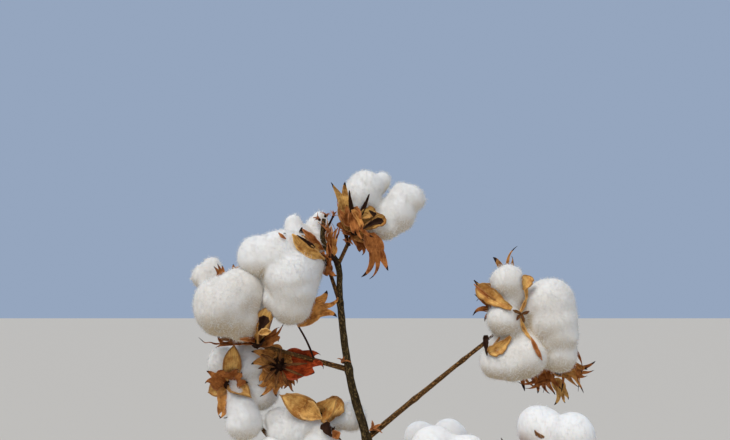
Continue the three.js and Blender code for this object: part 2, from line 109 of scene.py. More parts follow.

# Bolls that are seen close. A lock, valve or bract is its way from the middle of the burr to its far
# end, followed by its width. A lock may add the share of its way at which it starts, a valve its bulge
# and facing, and a bract its tint and facing, where that isn't along the boll's axis. Out is the way
# that a boll's stalk takes. A blade laid over the lint runs from one (x, z) to another, before its
# width, its tint and how far its end lifts, and may end in how far it stands before the burr's middle.
# A loose bract has its foot before its reach, and its count of teeth between its width and its tint.
# A boll may add a share of painted shade, which darkens and warms all of its lint.
# A laid blade of dark tint is painted shade: a dark sheet that stands for the shadow in a burr's cavity
# or slit.

# Boll at the top, on the fork bough
FORK_BOLL = {
    "at": 1, "stalk": 9, "axis": (0.68, -0.2, 0.7), "fine": True, "seed": 3,
    "locks": [
        (2, -6, 40, 32), (7, -5, 44, 28), (22, 4, 44, 14, 0.6), (45, -5, 15, 31),
        (52, -3, 28, 25, 0.5), (40, -2, 33, 15, 0.6), (54, -2, 24, 14, 0.7), (34, -8, 2, 26, 0.3),
    ],
    "valves": [
        (17, -19, 13, 14, 0.05, (0.2, -1, 0.5)), (25, -17, 8, 12, 0, (-0.1, -0.7, 1)),
        (-13, -11, 13, 13, -0.1, (0.4, -1, 0.2)), (10, 18, 24, 15, -0.1, (0, 1, 1)),
    ],
    "bracts": [
        (-13, -4, 30, 9, "rust", (0.3, -1, 0.1)), (10, -8, -22, 12, "rust", (0.2, -1, 0)),
        (19, -9, -11, 13, "tan", (0, -1, 0.3)), (-14, -9, 12, 13, "rust", (0.3, -1, 0.3)),
    ],
    "laid": [
        (-2, 4, -12, 18, 9, "rust", 2), (1, 9, 16, 16, 12, "husk", 3),
        (4, 0, 24, 10, 12, "husk", 1), (0, 4, 12, 12, 9, "husk", 2),
        (22, 8, 6, 1, 5.5, "dark", 1, 26), (16, 12, 11, 16, 3.5, "dark", 1, 26),
        (-1, 9, -5, 32, 4.5, "dark", 3), (3, 11, 11, 29, 4, "dark", 3),
    ],
    "loose": [
        (-9, -16, 7, -8, -2, 34, 11, 2, "gold"), (11, -15, -3, 5, 1, -41, 15, 3, "rust"),
        (-1, -20, 17, 8, 2, -31, 11, 3, "rust"), (-2, -18, 3, -10, 0, 15, 11, 2, "rust"),
        (-2, -22, 15, 7, 1, -22, 5, 2, "tan"),
    ],
}

# Large boll behind the stem, on the back bough
BACK_BOLL = {
    "at": 1, "stalk": 10, "axis": (-0.93, -0.25, 0.25), "fine": True, "seed": 8,
    "locks": [
        (-63, -13, 3, 36), (-46, -24, 7, 39), (-33, -31, -20, 43), (-27, -21, -49, 34),
        (-26, -27, -36, 37), (-44, -12, -20, 27), (-40, -13, -39, 25), (-24, 4, 36.5, 16),
        (-24, 4, 28, 22), (-1, 21, 36, 24), (1, 14, 41, 11),
    ],
    "valves": [
        (-24, -15, 22, 12, 0.05, (0.3, -1, 0.8)), (-8, -20, 10, 12, 0, (0.3, -1, 0.8)),
        (-20, 16, -20, 15, -0.1, (-1, 1, 0)), (-14, 20, 20, 15, -0.1, (-1, 1, 0)),
    ],
    "bracts": [
        (-34, -9, 24, 9, "dark", (0, -1, 0.3)), (6, -8, 8, 14, "rust", (-0.3, -1, 0)),
        (3, -8, -16, 12, "rust", (0.6, -0.8, 0)),
    ],
    "laid": [
        (2, 2, -24, 22, 9, "gold", 3), (-6, 11, -20, 21, 3, "dark", 6),
        (1, 9, -16, 26, 5, "rust", 4), (-29, 18, -35, 23, 1.8, "rust", 2),
    ],
}

# Boll at the left bough's end
LEFT_BOLL = {
    # The lint of this boll takes painted shade all over, darker and warmer.
    "at": 1, "stalk": 7, "axis": (-0.6, -0.1, 0.8), "fine": True, "seed": 5, "painted_shade": 0.24,
    "locks": [
        (-39, -19.5, 42, 49, 0.3), (-15, -18, 53.5, 42, 0.3), (-27.5, -17, 38.5, 43, 0.3),
        (-51, 35, 57, 22, 0.5), (-42, 36, 64, 16, 0.5), (-8, 30, 38, 32), (-40, 22, 22, 28),
    ],
    "valves": [
        (14, -20, 30, 13, 0.05, (-0.2, -1, 0.2)), (4, -20, 15, 12, 0, (-0.2, -1, 0.3)),
        (10, 18, 24, 15, -0.1, (-1, 1, 0)), (-30, 14, 4, 15, -0.1, (-1, 1, 1)),
    ],
    "bracts": [
        (-42, -12, 0, 6, "rust", (0, -0.6, 1)), (25, -9, 15, 10, "rust", (0, -1, 0.4)),
        (-30, 24, 60, 10, "tan", (0, -1, 0.2)), (12, -14, 4, 12, "dark", (0, -1, 0.4)),
    ],
    "laid": [
        (8, 15, 13, 29, 7, "gold", 2), (8, 20, 2.5, 7, 8.5, "dark", 1, 30),
        (2, 6.5, 12, 8, 5, "gold", 2, 33), (-13, 2, 11, 1, 4, "rust", 2),
    ],
    "loose": [
        (-29, 8, 50, -4, 0, 13, 8, 3, "rust"), (-18, 8, 53, 2, 0, 10, 6, 2, "tan"),
    ],
}

# Boll that faces the front, at the right bough's end
RIGHT_BOLL = {
    # The lint of this boll takes painted shade all over, darker and warmer.
    "at": 1, "stalk": 10, "axis": (-0.05, -1, 0.05), "fine": True, "seed": 6, "painted_shade": 0.2,
    "locks": [
        (-18, -19, 39, 29), (-27, -22, -6, 29), (-28, -13, -48, 28), (-12, -16, -51, 34),
        (2, -20, -49, 34), (38, -19, 18, 40), (42, -18, -6, 39), (42, -15, -24, 36),
        (39, -11, -41, 32),
    ],
    "valves": [
        (-36, -16, 26, 13, 0.1, (0.1, -1, 0.2)), (5, -14, 30, 8, 0.1, (-0.4, -1, 0.2)),
        (-28, -18, -31, 14, 0.1, (0.1, -1, -0.2)),
    ],
    "bracts": [
        (-11, 2, 58, 13, "tan", (0, -1, 0.2)), (-40, -8, 15, 26, "rust", (0.2, -1, 0)),
        (22, 6, -62, 22, "rust", (0, -1, 0.3)), (44, 6, -60, 20, "rust", (-0.3, -1, 0.3)),
        (8, 12, -62, 18, "tan", (0, -1, 0)),
    ],
    "laid": [
        (-7, 5, -35, 23, 17, "husk", 0), (3, 20, 6, 32, 12, "husk", 1),
        (-14, 8, -37, 25, 2.4, "rust", 1.5), (-28, 12, -37, 28, 5, "dark", 2),
        (-1, 1, 5, 14, 2.4, "gold", 0), (5, 12, 3, 26, 2.4, "gold", 0),
        (-8, -17, -26, -30, 13, "husk", 0), (-28, -16, -27, -32, 5, "dark", 2),
        (0, -2, 9, -20, 2.6, "gold", 0), (8, -17, 17, -36, 3, "rust", 0),
        (1, 1, -6, 4, 2, "brown", 1), (1, 1, 7, 3, 2, "brown", 1), (1, 1, 3, -6, 2, "brown", 1),
        (1, 1, -3, -4, 2, "brown", 1),
    ],
    "loose": [
        (17, 3, -38, 9, 2, -28, 18, 4, "rust"), (27, 3, -38, 24, 0, -20, 20, 4, "tan"),
        (36, 3, -42, 24, 0, -4, 12, 3, "rust"), (26, 2, -46, -26, 0, -11, 12, 3, "rust"),
        (27, 1, -50, 5, 0, -26, 11, 3, "gold"),
    ],
}

# Boll that hangs from the low left bough
LOW_LEFT_BOLL = {
    "at": 1, "stalk": 9, "out": (-0.6, 0, 0.8), "axis": (0.05, -0.6, -0.75), "fine": True,
    "seed": 11,
    "locks": [
        (-42, 1, -19, 36), (-46, 6, -3, 20), (-2, -8, -40, 33), (36, 14, 0, 26), (8, 34, -16, 24),
    ],
    "valves": [
        (-31, -18, 17, 16, 0.1, (0.1, -1, 0.1)), (13, -18, 14, 14, 0.1, (0, -1, 0.1)),
        (3, -15, -12, 12, 0, (0, -1, -0.3)), (2, 20, 5, 13, -0.1, (0, 1, 0.4)),
    ],
    "bracts": [
        (-20, 22, -12, 18, "tan", (0, 1, 0.4)), (20, 24, -16, 16, "rust", (0, 1, 0.4)),
        (10, -20, -22, 12, "dark", (0, -1, 0)),
    ],
    "laid": [
        (1, -4, -28, 16, 15, "gold", 3), (2, -7, 15, 13, 21, "husk", 3),
        (3, -7, 9, -18, 9, "dark", 2), (10, -13, 14, -20, 6, "rust", 3),
    ],
}

# Boll at the end of bough 7, whose upper side shows
BOUGH_07_BOLL = {
    "at": 1, "stalk": 11, "axis": (0.5, 0.1, 0.6), "fine": True, "seed": 31,
    "locks": [
        (28, 12, 25, 38), (35, 9, -17, 29), (14, -16, -46, 30), (-16, 26, 20, 26),
    ],
    "valves": [
        (4, -10, 32, 13, 0.1, (0, -1, 0.2)), (18, -17, -7, 13, 0, (0, -1, 0.6)),
        (-17, -6, -6, 12, -0.1, (0, -1, 0.4)), (-4, 18, 22, 15, -0.1, (0, 1, 0)),
    ],
    "bracts": [
        (-17, -15, 17, 19, "rust", (0, -1, 0)), (16, -17, 13, 18, "rust", (0, -1, 0)),
        (-5, -12, -30, 17, "tan", (0, -1, 0)),
    ],
}

# A burr that has lost its lint, under the left bough
EMPTY_BURR = {
    "at": 0.82, "stalk": 15, "out": (0, 0.5, -0.86), "axis": (-0.1, -0.95, -0.2), "seed": 13,
    "locks": [],
    "valves": [
        (-6, -9, 3, 6, 0.1, (0, 1, 0.2)), (1, -9, 6, 5, 0.1, (0, 1, 0.2)),
        (5, -10, -1, 5, 0.1, (0, 1, 0.2)), (-3, -10, -5, 6, 0.1, (0, 1, 0.2)),
    ],
    "bracts": [
        (41, -9, 3, 26, "red", (0, -1, 0.2)), (-16, -5, -22, 24, "tan", (0, -1, 0.2)),
        (-23, -3, 12, 24, "tan", (0, -1, 0.2)), (10, -4, -22, 18, "rust", (0, -1, 0)),
        (4, -6, 15, 16, "tan", (0, -1, 0)),
    ],
    "laid": [
        (-3, 2, -15, 9, 2.6, "brown", 0, 10), (-4, -1, -17, -2, 1.8, "brown", 0, 10),
        (-3, -3, -12, -13, 2.8, "brown", 0, 10), (0, -4, -3, -18, 2, "brown", 0, 10),
        (2, -4, 7, -16, 2.6, "brown", 0, 10), (0, 4, 1, 13, 2, "brown", 0, 10),
        (4, 1, 22, 2, 1.5, "brown", 0, 14), (4, -2, 19, -8, 1.6, "brown", 0, 14),
    ],
}


def bough_row(name, height, azimuth, rise, droop, length, radius, *bolls):
    """A bough: the height of its foot on the stem, its heading, sag, length and radius at its foot."""
    return {
        "name": name, "height": height, "azimuth": azimuth, "rise": rise, "droop": droop,
        "length": length, "radius": radius, "bolls": bolls,
    }


def lower_boll(at, stalk, tilt, seed):
    """A boll grown by the rule alone, at a share of its bough's length."""
    return {"at": at, "stalk": stalk, "tilt": tilt, "seed": seed}


# Boughs, from the top down
BOUGHS = [
    bough_row("fork_bough", 874, 0, 72, 14, 22, 1.7, FORK_BOLL),
    bough_row("back_bough", 843, 180, 72, 0, 27, 1.7, BACK_BOLL),
    bough_row("left_bough", 791, 180, 17, 3, 70, 2.3, LEFT_BOLL),
    bough_row("right_bough", 737, 5, 39, 2, 148, 2.4, RIGHT_BOLL),
    bough_row("low_left_bough", 688, 169, 55, 4, 75, 2.2, LOW_LEFT_BOLL),
    bough_row(
        "bough_06", 645, 325, 40, 14, 140, 2.5, lower_boll(1, 11, 40, 21), lower_boll(0.45, 24, 30, 22)
    ),
    bough_row("bough_07", 601, 177, 55, 10, 219, 2.7, BOUGH_07_BOLL, lower_boll(0.5, 22, 55, 32)),
    bough_row("bough_08", 556, 78, 50, 16, 184, 2.7, lower_boll(1, 11, 35, 41)),
    bough_row("bough_09", 512, 258, 42, 20, 170, 2.7, lower_boll(1, 11, 50, 51)),
    bough_row(
        "bough_10", 468, 18, 44, 22, 208, 2.8, lower_boll(1, 11, 45, 61), lower_boll(0.5, 24, 30, 62)
    ),
    bough_row("bough_11", 424, 144, 42, 22, 214, 2.9, lower_boll(1, 11, 40, 71)),
    bough_row("bough_12", 380, 292, 38, 22, 200, 2.9, lower_boll(1, 11, 55, 81)),
    bough_row("bough_13", 338, 205, 38, 20, 214, 3, lower_boll(1, 11, 35, 91)),
    bough_row("bough_14", 296, 52, 36, 20, 196, 3, lower_boll(1, 11, 45, 101)),
    bough_row("basal_bough", 215, 345, 52, 12, 238, 3.4, lower_boll(1, 12, 30, 111)),
]
LEFT_BOUGH = BOUGHS[2]


class CottonSizes(bpy.types.PropertyGroup):
    bark_ring: FloatProperty(
        name="Bark ring", description="Height of one ring of the bark's mesh",
        default=1.6 * MM, min=0.5 * MM, unit="LENGTH",
    )
    bark_relief: FloatProperty(
        name="Bark relief", description="Depth of the bark's fissures",
        default=0.35 * MM, min=0.0, unit="LENGTH",
    )
    lint_cell: FloatProperty(
        name="Lint cell", description="Size of the lint's mesh on the bolls that are seen close",
        default=1.5 * MM, min=0.8 * MM, unit="LENGTH",
    )
    lint_cell_far: FloatProperty(
        name="Lint cell, lower bolls", description="Size of the lint's mesh on the lower bolls",
        default=2.0 * MM, min=0.8 * MM, unit="LENGTH",
    )
    fibre_length: FloatProperty(
        name="Fibre length", description="Length of a loose fibre that stands off the lint",
        default=4.5 * MM, min=1.0 * MM, unit="LENGTH",
    )
    fibres: IntProperty(
        name="Fibres", description="Loose fibres on a boll that is seen close", default=9000, min=0,
    )
    valve_thick: FloatProperty(
        name="Husk thickness", description="Thickness of a woody valve of the burr",
        default=1.1 * MM, min=0.3 * MM, unit="LENGTH",
    )
    bract_thick: FloatProperty(
        name="Bract thickness", description="Thickness of a dry bract",
        default=0.4 * MM, min=0.1 * MM, unit="LENGTH",
    )
    floor_size: FloatProperty(
        name="Floor size", description="Width of the pale floor", default=60.0, min=2.0, unit="LENGTH",
    )


class CottonColours(bpy.types.PropertyGroup):
    bark: FloatVectorProperty(
        name="Bark", description="Dark ground of the bark", subtype="COLOR",
        default=(0.013, 0.008, 0.003),
    )
    bark_bough: FloatVectorProperty(
        name="Bough bark", description="Browner ground of the boughs' bark", subtype="COLOR",
        default=(0.040, 0.018, 0.006),
    )
    bark_light: FloatVectorProperty(
        name="Bark ridges", description="Weathered ridges of the bark", subtype="COLOR",
        default=(0.050, 0.032, 0.012),
    )
    lint: FloatVectorProperty(
        name="Lint", description="Clean fibre", subtype="COLOR", default=(0.91, 0.88, 0.825),
    )
    # Painted shade: the fibre's colour in its creases, near the burr's middle and on its undersides.
    lint_painted_shade: FloatVectorProperty(
        name="Lint crease", description="Fibre deep in the creases", subtype="COLOR",
        default=(0.52, 0.40, 0.24),
    )
    husk: FloatVectorProperty(
        name="Husk face", description="Smooth inner face of a valve", subtype="COLOR",
        default=(0.84, 0.48, 0.14),
    )
    husk_back: FloatVectorProperty(
        name="Husk back", description="Outer face and edge of a valve", subtype="COLOR",
        default=(0.27, 0.115, 0.032),
    )
    bract_gold: FloatVectorProperty(
        name="Golden bract", description="Palest dry bracts", subtype="COLOR",
        default=(0.74, 0.40, 0.11),
    )
    bract_red: FloatVectorProperty(
        name="Red bract", description="Reddest dry bract", subtype="COLOR", default=(0.52, 0.075, 0.013),
    )
    bract_tan: FloatVectorProperty(
        name="Tan bract", description="Pale dry bracts", subtype="COLOR", default=(0.65, 0.29, 0.072),
    )
    bract_rust: FloatVectorProperty(
        name="Rust bract", description="Red-brown dry bracts", subtype="COLOR",
        default=(0.45, 0.16, 0.038),
    )
    # Also the colour of the dark laid blades, which are painted shade in the burrs' cavities and slits.
    bract_dark_and_shade: FloatVectorProperty(
        name="Dark tips", description="Curled tips of the bracts, buds and burr middles",
        subtype="COLOR", default=(0.040, 0.016, 0.007),
    )
    floor: FloatVectorProperty(
        name="Floor", description="Pale floor", subtype="COLOR", default=(0.63, 0.57, 0.48),
    )


def chance(seed, index):
    """The same number from 0 to 1 for the same seed and index."""
    raw = math.sin(seed * 12.9898 + index * 78.233) * 43758.5453
    return raw - math.floor(raw)


def spread(seed, index, low, high):
    """The same number from low to high for the same seed and index."""
    return low + (high - low) * chance(seed, index)


def unit(vector):
    """A vector, or each of many, at a length of one."""
    vector = np.asarray(vector, float)
    return vector / np.linalg.norm(vector, axis=-1, keepdims=True)


def heading(azimuth, rise):
    """The direction at an azimuth and a rise above the level, in degrees."""
    azimuth, rise = math.radians(azimuth), math.radians(rise)
    level = math.cos(rise)
    return np.array((level * math.cos(azimuth), level * math.sin(azimuth), math.sin(rise)))


def waves(points, size, seed, count=7):
    """A smooth random field from -1 to 1 over points, with bumps of about the given size."""
    total = np.zeros(len(points))
    for k in range(count):
        way = unit([spread(seed, 3 * k + i, -1, 1) for i in range(3)])
        pace = 2 * math.pi / (size * spread(seed, 100 + k, 1.4, 2.6))
        total += np.sin(points @ way * pace + spread(seed, 200 + k, 0, 6.28))
    return total / count * 1.6


class Line:
    """A centripetal Catmull-Rom line through points, read at shares of its length."""

    def __init__(self, points):
        points = np.asarray(points, float)
        ends = np.vstack([2 * points[0] - points[1], points, 2 * points[-1] - points[-2]])
        steps = 24
        dense = [points[0]]
        for i in range(len(points) - 1):
            a, b, c, d = ends[i:i + 4]
            ab, bc, cd = (max(np.linalg.norm(q - p) ** 0.5, 1e-4) for p, q in ((a, b), (b, c), (c, d)))
            leave = ((b - a) / ab - (c - a) / (ab + bc) + (c - b) / bc) * bc
            enter = ((c - b) / bc - (d - b) / (bc + cd) + (d - c) / cd) * bc
            for t in np.linspace(0, 1, steps + 1)[1:]:
                dense.append(
                    b * (2 * t ** 3 - 3 * t ** 2 + 1) + leave * (t ** 3 - 2 * t ** 2 + t)
                    + c * (3 * t ** 2 - 2 * t ** 3) + enter * (t ** 3 - t ** 2)
                )
        self.points = np.array(dense)
        run = np.linalg.norm(np.diff(self.points, axis=0), axis=1)
        self.run = np.concatenate([[0], np.cumsum(run)])
        self.length = self.run[-1]

    def at(self, share):
        """The point at a share of the length."""
        run = np.asarray(share, float) * self.length
        return np.stack([np.interp(run, self.run, self.points[:, k]) for k in range(3)], axis=-1)

    def way(self, share):
        """The direction at a share of the length."""
        share = np.asarray(share, float)
        step = 0.01
        return unit(self.at(np.minimum(share + step, 1)) - self.at(np.maximum(share - step, 0)))


def stem_line():
    """The main stem: an even sway up to the canopy, then its nodes."""
    points = [(0, -0.4, -10)]
    lower = 7
    for i in range(lower + 1):
        height = CANOPY_Z * i / lower
        across = CANOPY_LEAN * (height / CANOPY_Z) ** 3
        points.append((across, STEM_SWAY * math.sin(math.pi * height / CANOPY_Z), height))
    points += [(across, 0, height) for across, height in STEM_NODES]
    return Line(points)


STEM = stem_line()


def stem_at(height):
    """The point of the stem's centre line at a height."""
    line = STEM.points
    return np.array([np.interp(height, line[:, 2], line[:, k]) for k in range(3)])


def stem_share(height):
    """The share of the stem's line at a height."""
    return np.interp(height, STEM.points[:, 2], STEM.run) / STEM.length


def stem_radius(height):
    """The stem's radius at a height, without its root flare."""
    taper = np.maximum(0, 1 - height / STEM_TOP) ** STEM_TAPER
    return STEM_TIP_RADIUS + (STEM_FOOT_RADIUS - STEM_TIP_RADIUS) * taper


def internodes(bough):
    """How many internodes a bough has."""
    return max(1, math.floor(bough["length"] / INTERNODE + 0.5))


def bough_line(bough):
    """A bough: it leaves the stem at its rise, sags by its droop and swings a little at each node."""
    pieces = internodes(bough)
    at = stem_at(bough["height"])
    points = [at]
    for i in range(pieces):
        swing = (-7 if i % 2 else 7) if pieces > 3 else 0
        rise = bough["rise"] - bough["droop"] * (i + 0.5) / pieces
        at = at + heading(bough["azimuth"] + swing, rise) * bough["length"] / pieces
        points.append(at)
    if len(points) == 2:
        points.insert(1, (points[0] + points[1]) / 2)
    return Line(points)


def turned(vector, axis):
    """A vector given about +Z, turned by the shortest way so that +Z lies along axis."""
    axis = unit(axis)
    cross = np.cross(UP, axis)
    cosine = axis[2]
    if cosine < -0.9999:
        return vector * np.array((1, -1, -1))
    return vector + np.cross(cross, vector) + np.cross(cross, np.cross(cross, vector)) / (1 + cosine)


def ways_round(axis, count, turn, out, length, seed):
    """Ways of a length that lean out from an axis, spaced round it."""
    ways = []
    for i in range(count):
        azimuth = turn + 360 * i / count + spread(seed, 10 + i, -9, 9)
        lean = out + spread(seed, 20 + i, -9, 9)
        reach = length * spread(seed, 30 + i, 0.88, 1.1)
        ways.append(turned(heading(azimuth, 90 - lean), axis) * reach)
    return ways


class Boll:
    """Where one boll sits, and the ways of its locks, valves and bracts from its burr's middle."""

    def __init__(self, row, bough, line):
        seed = row["seed"]
        self.seed = seed
        self.fine = row.get("fine", False)
        self.foot = line.at(row["at"])
        around = bough["azimuth"] + spread(seed, 1, -70, 70)
        self.axis = unit(row["axis"]) if "axis" in row else heading(around, 90 - row["tilt"])
        leave = line.way(row["at"])
        ends = row["at"] == 1
        out = unit(leave + 0.35 * (self.axis - leave)) if ends else self.axis
        out = unit(row.get("out", out))
        self.leave = leave if ends else out
        self.stalk = row["stalk"]
        self.middle = self.foot + out * row["stalk"]
        turn = spread(seed, 2, 0, 360)
        self.locks = self.blades(row.get("locks"), lambda: [
            (*reach, LOCK_WIDTH * spread(seed, 40 + i, 0.9, 1.15))
            for i, reach in enumerate(
                ways_round(self.axis, LOCKS, turn, LOCK_LEAN, BOLL_LENGTH, seed)
            )
        ])
        between_locks = turn + 180 / LOCKS
        self.valves = self.blades(row.get("valves"), lambda: [
            (*reach, VALVE_WIDTH)
            for reach in ways_round(
                self.axis, LOCKS, between_locks, VALVE_LEAN, VALVE_LENGTH, seed + 1
            )
        ])
        self.bracts = self.blades(row.get("bracts"), lambda: [
            (*reach, BRACT_WIDTH)
            for reach in ways_round(
                self.axis, BRACTS, turn + BRACT_TURN, BRACT_LEAN, BRACT_LENGTH, seed + 2
            )
        ])
        # A share of painted shade that darkens and warms all of the boll's lint
        self.painted_shade = row.get("painted_shade", 0)
        self.laid = row.get("laid", [])
        self.loose = row.get("loose", [])

    def blades(self, rows, rule):
        """Rows as way, width, extra and facing, which is along the axis where it isn't given."""
        rows = rule() if rows is None else rows
        plain = (None, self.axis)
        return [(np.array(row[:3], float), row[3], *row[4:], *plain[len(row) - 4:]) for row in rows]


LINES = {bough["name"]: bough_line(bough) for bough in BOUGHS}
BOLLS = [Boll(row, bough, LINES[bough["name"]]) for bough in BOUGHS for row in bough["bolls"]]
EMPTY = Boll(EMPTY_BURR, LEFT_BOUGH, LINES["left_bough"])

# The dry leaf stands out from the end of its thin stalk, and the dry bud sits on a spur of the stem.
LEAF_FOOT = np.array((-126.0, -8.0, 829.0))
LEAF_REACH = np.array((37.0, 0.0, 15.0))
LEAF_WIDTH = 18
BUD_FOOT = np.array((-99.0, -6.0, 880.0))
BUD_LENGTH = 31
BUD_WIDTH = 9
BUD_BRACTS = [(200, "rust"), (320, "rust"), (80, "tan")]
FRONT = np.array((0, -1, 0.2))

# Small buds at the stem's tip, on two twigs beside it and at two nodes: place, way, size and seed
STEM_TIP = STEM.at(1.0)
TIP_TWIG_END = (-97.2, -1, 912.5)
SIDE_TWIG_END = (-86.5, -3, 897)
SMALL_BUDS = [
    (STEM_TIP + (-3.5, -1, -1), (-0.7, -0.2, 0.8), 6.0, 301),
    (STEM_TIP + (1.2, 0, 2), (0.3, 0, 1), 6.5, 302),
    (TIP_TWIG_END, (0.3, 0, 1), 5.5, 303), (SIDE_TWIG_END, (-0.3, -0.3, 1), 9.0, 304),
    ((-85.5, -3, 892), (-0.2, -0.6, 0.8), 7.0, 305), ((-89.0, -2.5, 797), (0, -0.4, 1), 6.0, 306),
    ((-66.5, -2.5, 744), (0.6, -0.5, 0.8), 8.5, 307),
]


class Heap:
    """Gathers many small meshes, in millimetres, that become one object."""

    def __init__(self):
        self.points = []
        self.faces = []
        self.fields = []
        self.count = 0

    def add(self, points, faces, field=None):
        self.points.append(points)
        self.faces += [polys + self.count for polys in faces]
        self.fields.append(np.zeros((len(points), 3)) if field is None else field)
        self.count += len(points)

    def add_grid(self, grid, field=None, around=False, flip=False):
        """Quads over a grid of points. A grid that runs around joins its last column to its first."""
        rows, columns = grid.shape[:2]
        index = np.arange(rows * columns).reshape(rows, columns)
        if around:
            index = np.hstack([index, index[:, :1]])
        quads = np.stack([index[:-1, :-1], index[:-1, 1:], index[1:, 1:], index[1:, :-1]], axis=-1)
        quads = quads.reshape(-1, 4)
        field = None if field is None else field.reshape(-1, field.shape[-1])
        self.add(grid.reshape(-1, 3), [quads[:, ::-1] if flip else quads], field)

    def build(self, name, finish, slot, nodes, field=None):
        """Makes the object, which rides on the plant and stands for the given nodes. A field's first
        three numbers go to the attribute of that name, and a fourth to the one named rim."""
        points = np.vstack(self.points)
        sizes = np.concatenate([np.full(len(polys), polys.shape[1]) for polys in self.faces])
        loops = np.concatenate([polys.ravel() for polys in self.faces])
        mesh = bpy.data.meshes.new(name)
        mesh.vertices.add(len(points))
        mesh.vertices.foreach_set("co", (points * MM).ravel())
        mesh.loops.add(len(loops))
        mesh.loops.foreach_set("vertex_index", loops)
        mesh.polygons.add(len(sizes))
        mesh.polygons.foreach_set("loop_start", np.concatenate([[0], np.cumsum(sizes)[:-1]]))
        mesh.update(calc_edges=True)
        mesh.validate()
        mesh.shade_smooth()
        if field:
            fields = np.vstack(self.fields)
            store(mesh, field, fields[:, :3])
            if fields.shape[1] > 3:
                store(mesh, "rim", fields[:, 3])
        return place(mesh, name, finish, nodes)


def store(mesh, name, values):
    """Keeps a number or a vector at each point of a mesh, for its finish to read."""
    kind, member = ("FLOAT", "value") if values.ndim == 1 else ("FLOAT_VECTOR", "vector")
    layer = mesh.attributes.new(name, kind, "POINT")
    layer.data.foreach_set(member, values.ravel())


def place(mesh, name, finish, nodes):
    """Makes a piece of a mesh, riding on the plant and in place of the given nodes."""
    piece = bpy.data.objects.new(name, mesh)
    bpy.context.scene.collection.objects.link(piece)
    mesh.materials.append(finish)
    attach(piece, "root")
    if nodes:
        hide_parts(*nodes)
    return piece


class Value:
    """A socket that shader maths is written with."""

    def __init__(self, finish, socket):
        self.finish = finish
        self.socket = socket

    def __add__(self, other):
        return self.finish.maths("ADD", self, other)

    def __radd__(self, other):
        return self.finish.maths("ADD", other, self)

    def __sub__(self, other):
        return self.finish.maths("SUBTRACT", self, other)

    def __rsub__(self, other):
        return self.finish.maths("SUBTRACT", other, self)

    def __mul__(self, other):
        return self.finish.maths("MULTIPLY", self, other)

    def __rmul__(self, other):
        return self.finish.maths("MULTIPLY", other, self)


class Finish:
    """A material whose nodes are written as Python expressions."""

    def __init__(self, name, **shader):
        self.material = bpy.data.materials.new(name)
        self.material.use_nodes = True
        self.tree = self.material.node_tree
        self.tree.nodes.clear()
        self.shader = self.tree.nodes.new("ShaderNodeBsdfPrincipled")
        output = self.tree.nodes.new("ShaderNodeOutputMaterial")
        self.tree.links.new(self.shader.outputs["BSDF"], output.inputs["Surface"])
        self.feed(self.shader, shader)

    def feed(self, node, sockets):
        """Links or sets a node's sockets, by name or number."""
        for key, value in sockets.items():
            socket = node.inputs[key]
            if isinstance(value, Value):
                self.tree.links.new(value.socket, socket)
            elif socket.type == "RGBA" and len(value) == 3:
                socket.default_value = (*value, 1.0)
            else:
                socket.default_value = value

    def node(self, kind, settings, sockets, output=0):
        """Adds a node, makes its settings first, then feeds its sockets. Returns one output."""
        node = self.tree.nodes.new("ShaderNode" + kind)
        for key, value in settings.items():
            setattr(node, key, value)
        self.feed(node, sockets)
        return Value(self, node.outputs[output])

    def maths(self, operation, a, b):
        return self.node("Math", {"operation": operation}, {0: a, 1: b})

    def clamped(self, value):
        return self.node("Clamp", {}, {"Value": value})

    def mask(self, value, low, high):
        """0 where value is under low, 1 where it is over high, and smooth between."""
        sockets = {"Value": value, "From Min": low, "From Max": high}
        return self.node("MapRange", {"interpolation_type": "SMOOTHSTEP"}, sockets)

    def mix(self, share, a, b):
        """Colour a where share is 0 and b where it is 1. A Mix node's colours are sockets 6 and 7."""
        return self.node("Mix", {"data_type": "RGBA"}, {0: share, 6: a, 7: b}, output=2)

    def noise(self, where, scale, detail, rough=0.55):
        sockets = {"Vector": where, "Scale": scale, "Detail": detail, "Roughness": rough}
        return self.node("TexNoise", {}, sockets)

    def field(self, name, output="Vector"):
        return self.node("Attribute", {"attribute_name": name}, {}, output=output)

    def place(self):
        return self.node("TexCoord", {}, {}, output="Object")

    def scaled(self, where, factors):
        """A place stretched along each axis, so that a pattern read there runs long or short."""
        return self.node("VectorMath", {"operation": "MULTIPLY"}, {0: where, 1: factors})

    def surface(self, **sockets):
        self.feed(self.shader, sockets)

    def bump(self, height, distance, strength):
        sockets = {"Height": height, "Distance": distance, "Strength": strength}
        self.surface(Normal=self.node("Bump", {}, sockets))


def bark_finish(name, dark, light):
    """Dark bark with long streaks of weathering and pale corky specks. Its field is in millimetres."""
    finish = Finish(name, Roughness=0.78, **{"Specular IOR Level": 0.08})
    bark = finish.field("bark")
    streaks = finish.noise(finish.scaled(bark, (0.9, 0.9, 0.09)), 0.6, 4.0, 0.6)
    patches = finish.noise(finish.scaled(bark, (0.5, 0.5, 0.12)), 0.12, 2.0)
    specks = finish.noise(finish.scaled(bark, (1.0, 1.0, 0.55)), 0.95, 1.0)
    corky = finish.mask(specks, 0.55, 0.62)
    tone = finish.mask(streaks + patches * 0.5, 0.52, 0.88)
    colour = finish.mix(tone, dark, light)
    pale = tuple(min(1.0, channel * 3.5) for channel in light)
    finish.surface(**{"Base Color": finish.mix(corky * 0.8, colour, pale)})
    finish.bump(streaks + corky * 0.5, 0.35 * MM, 0.9)
    return finish.material


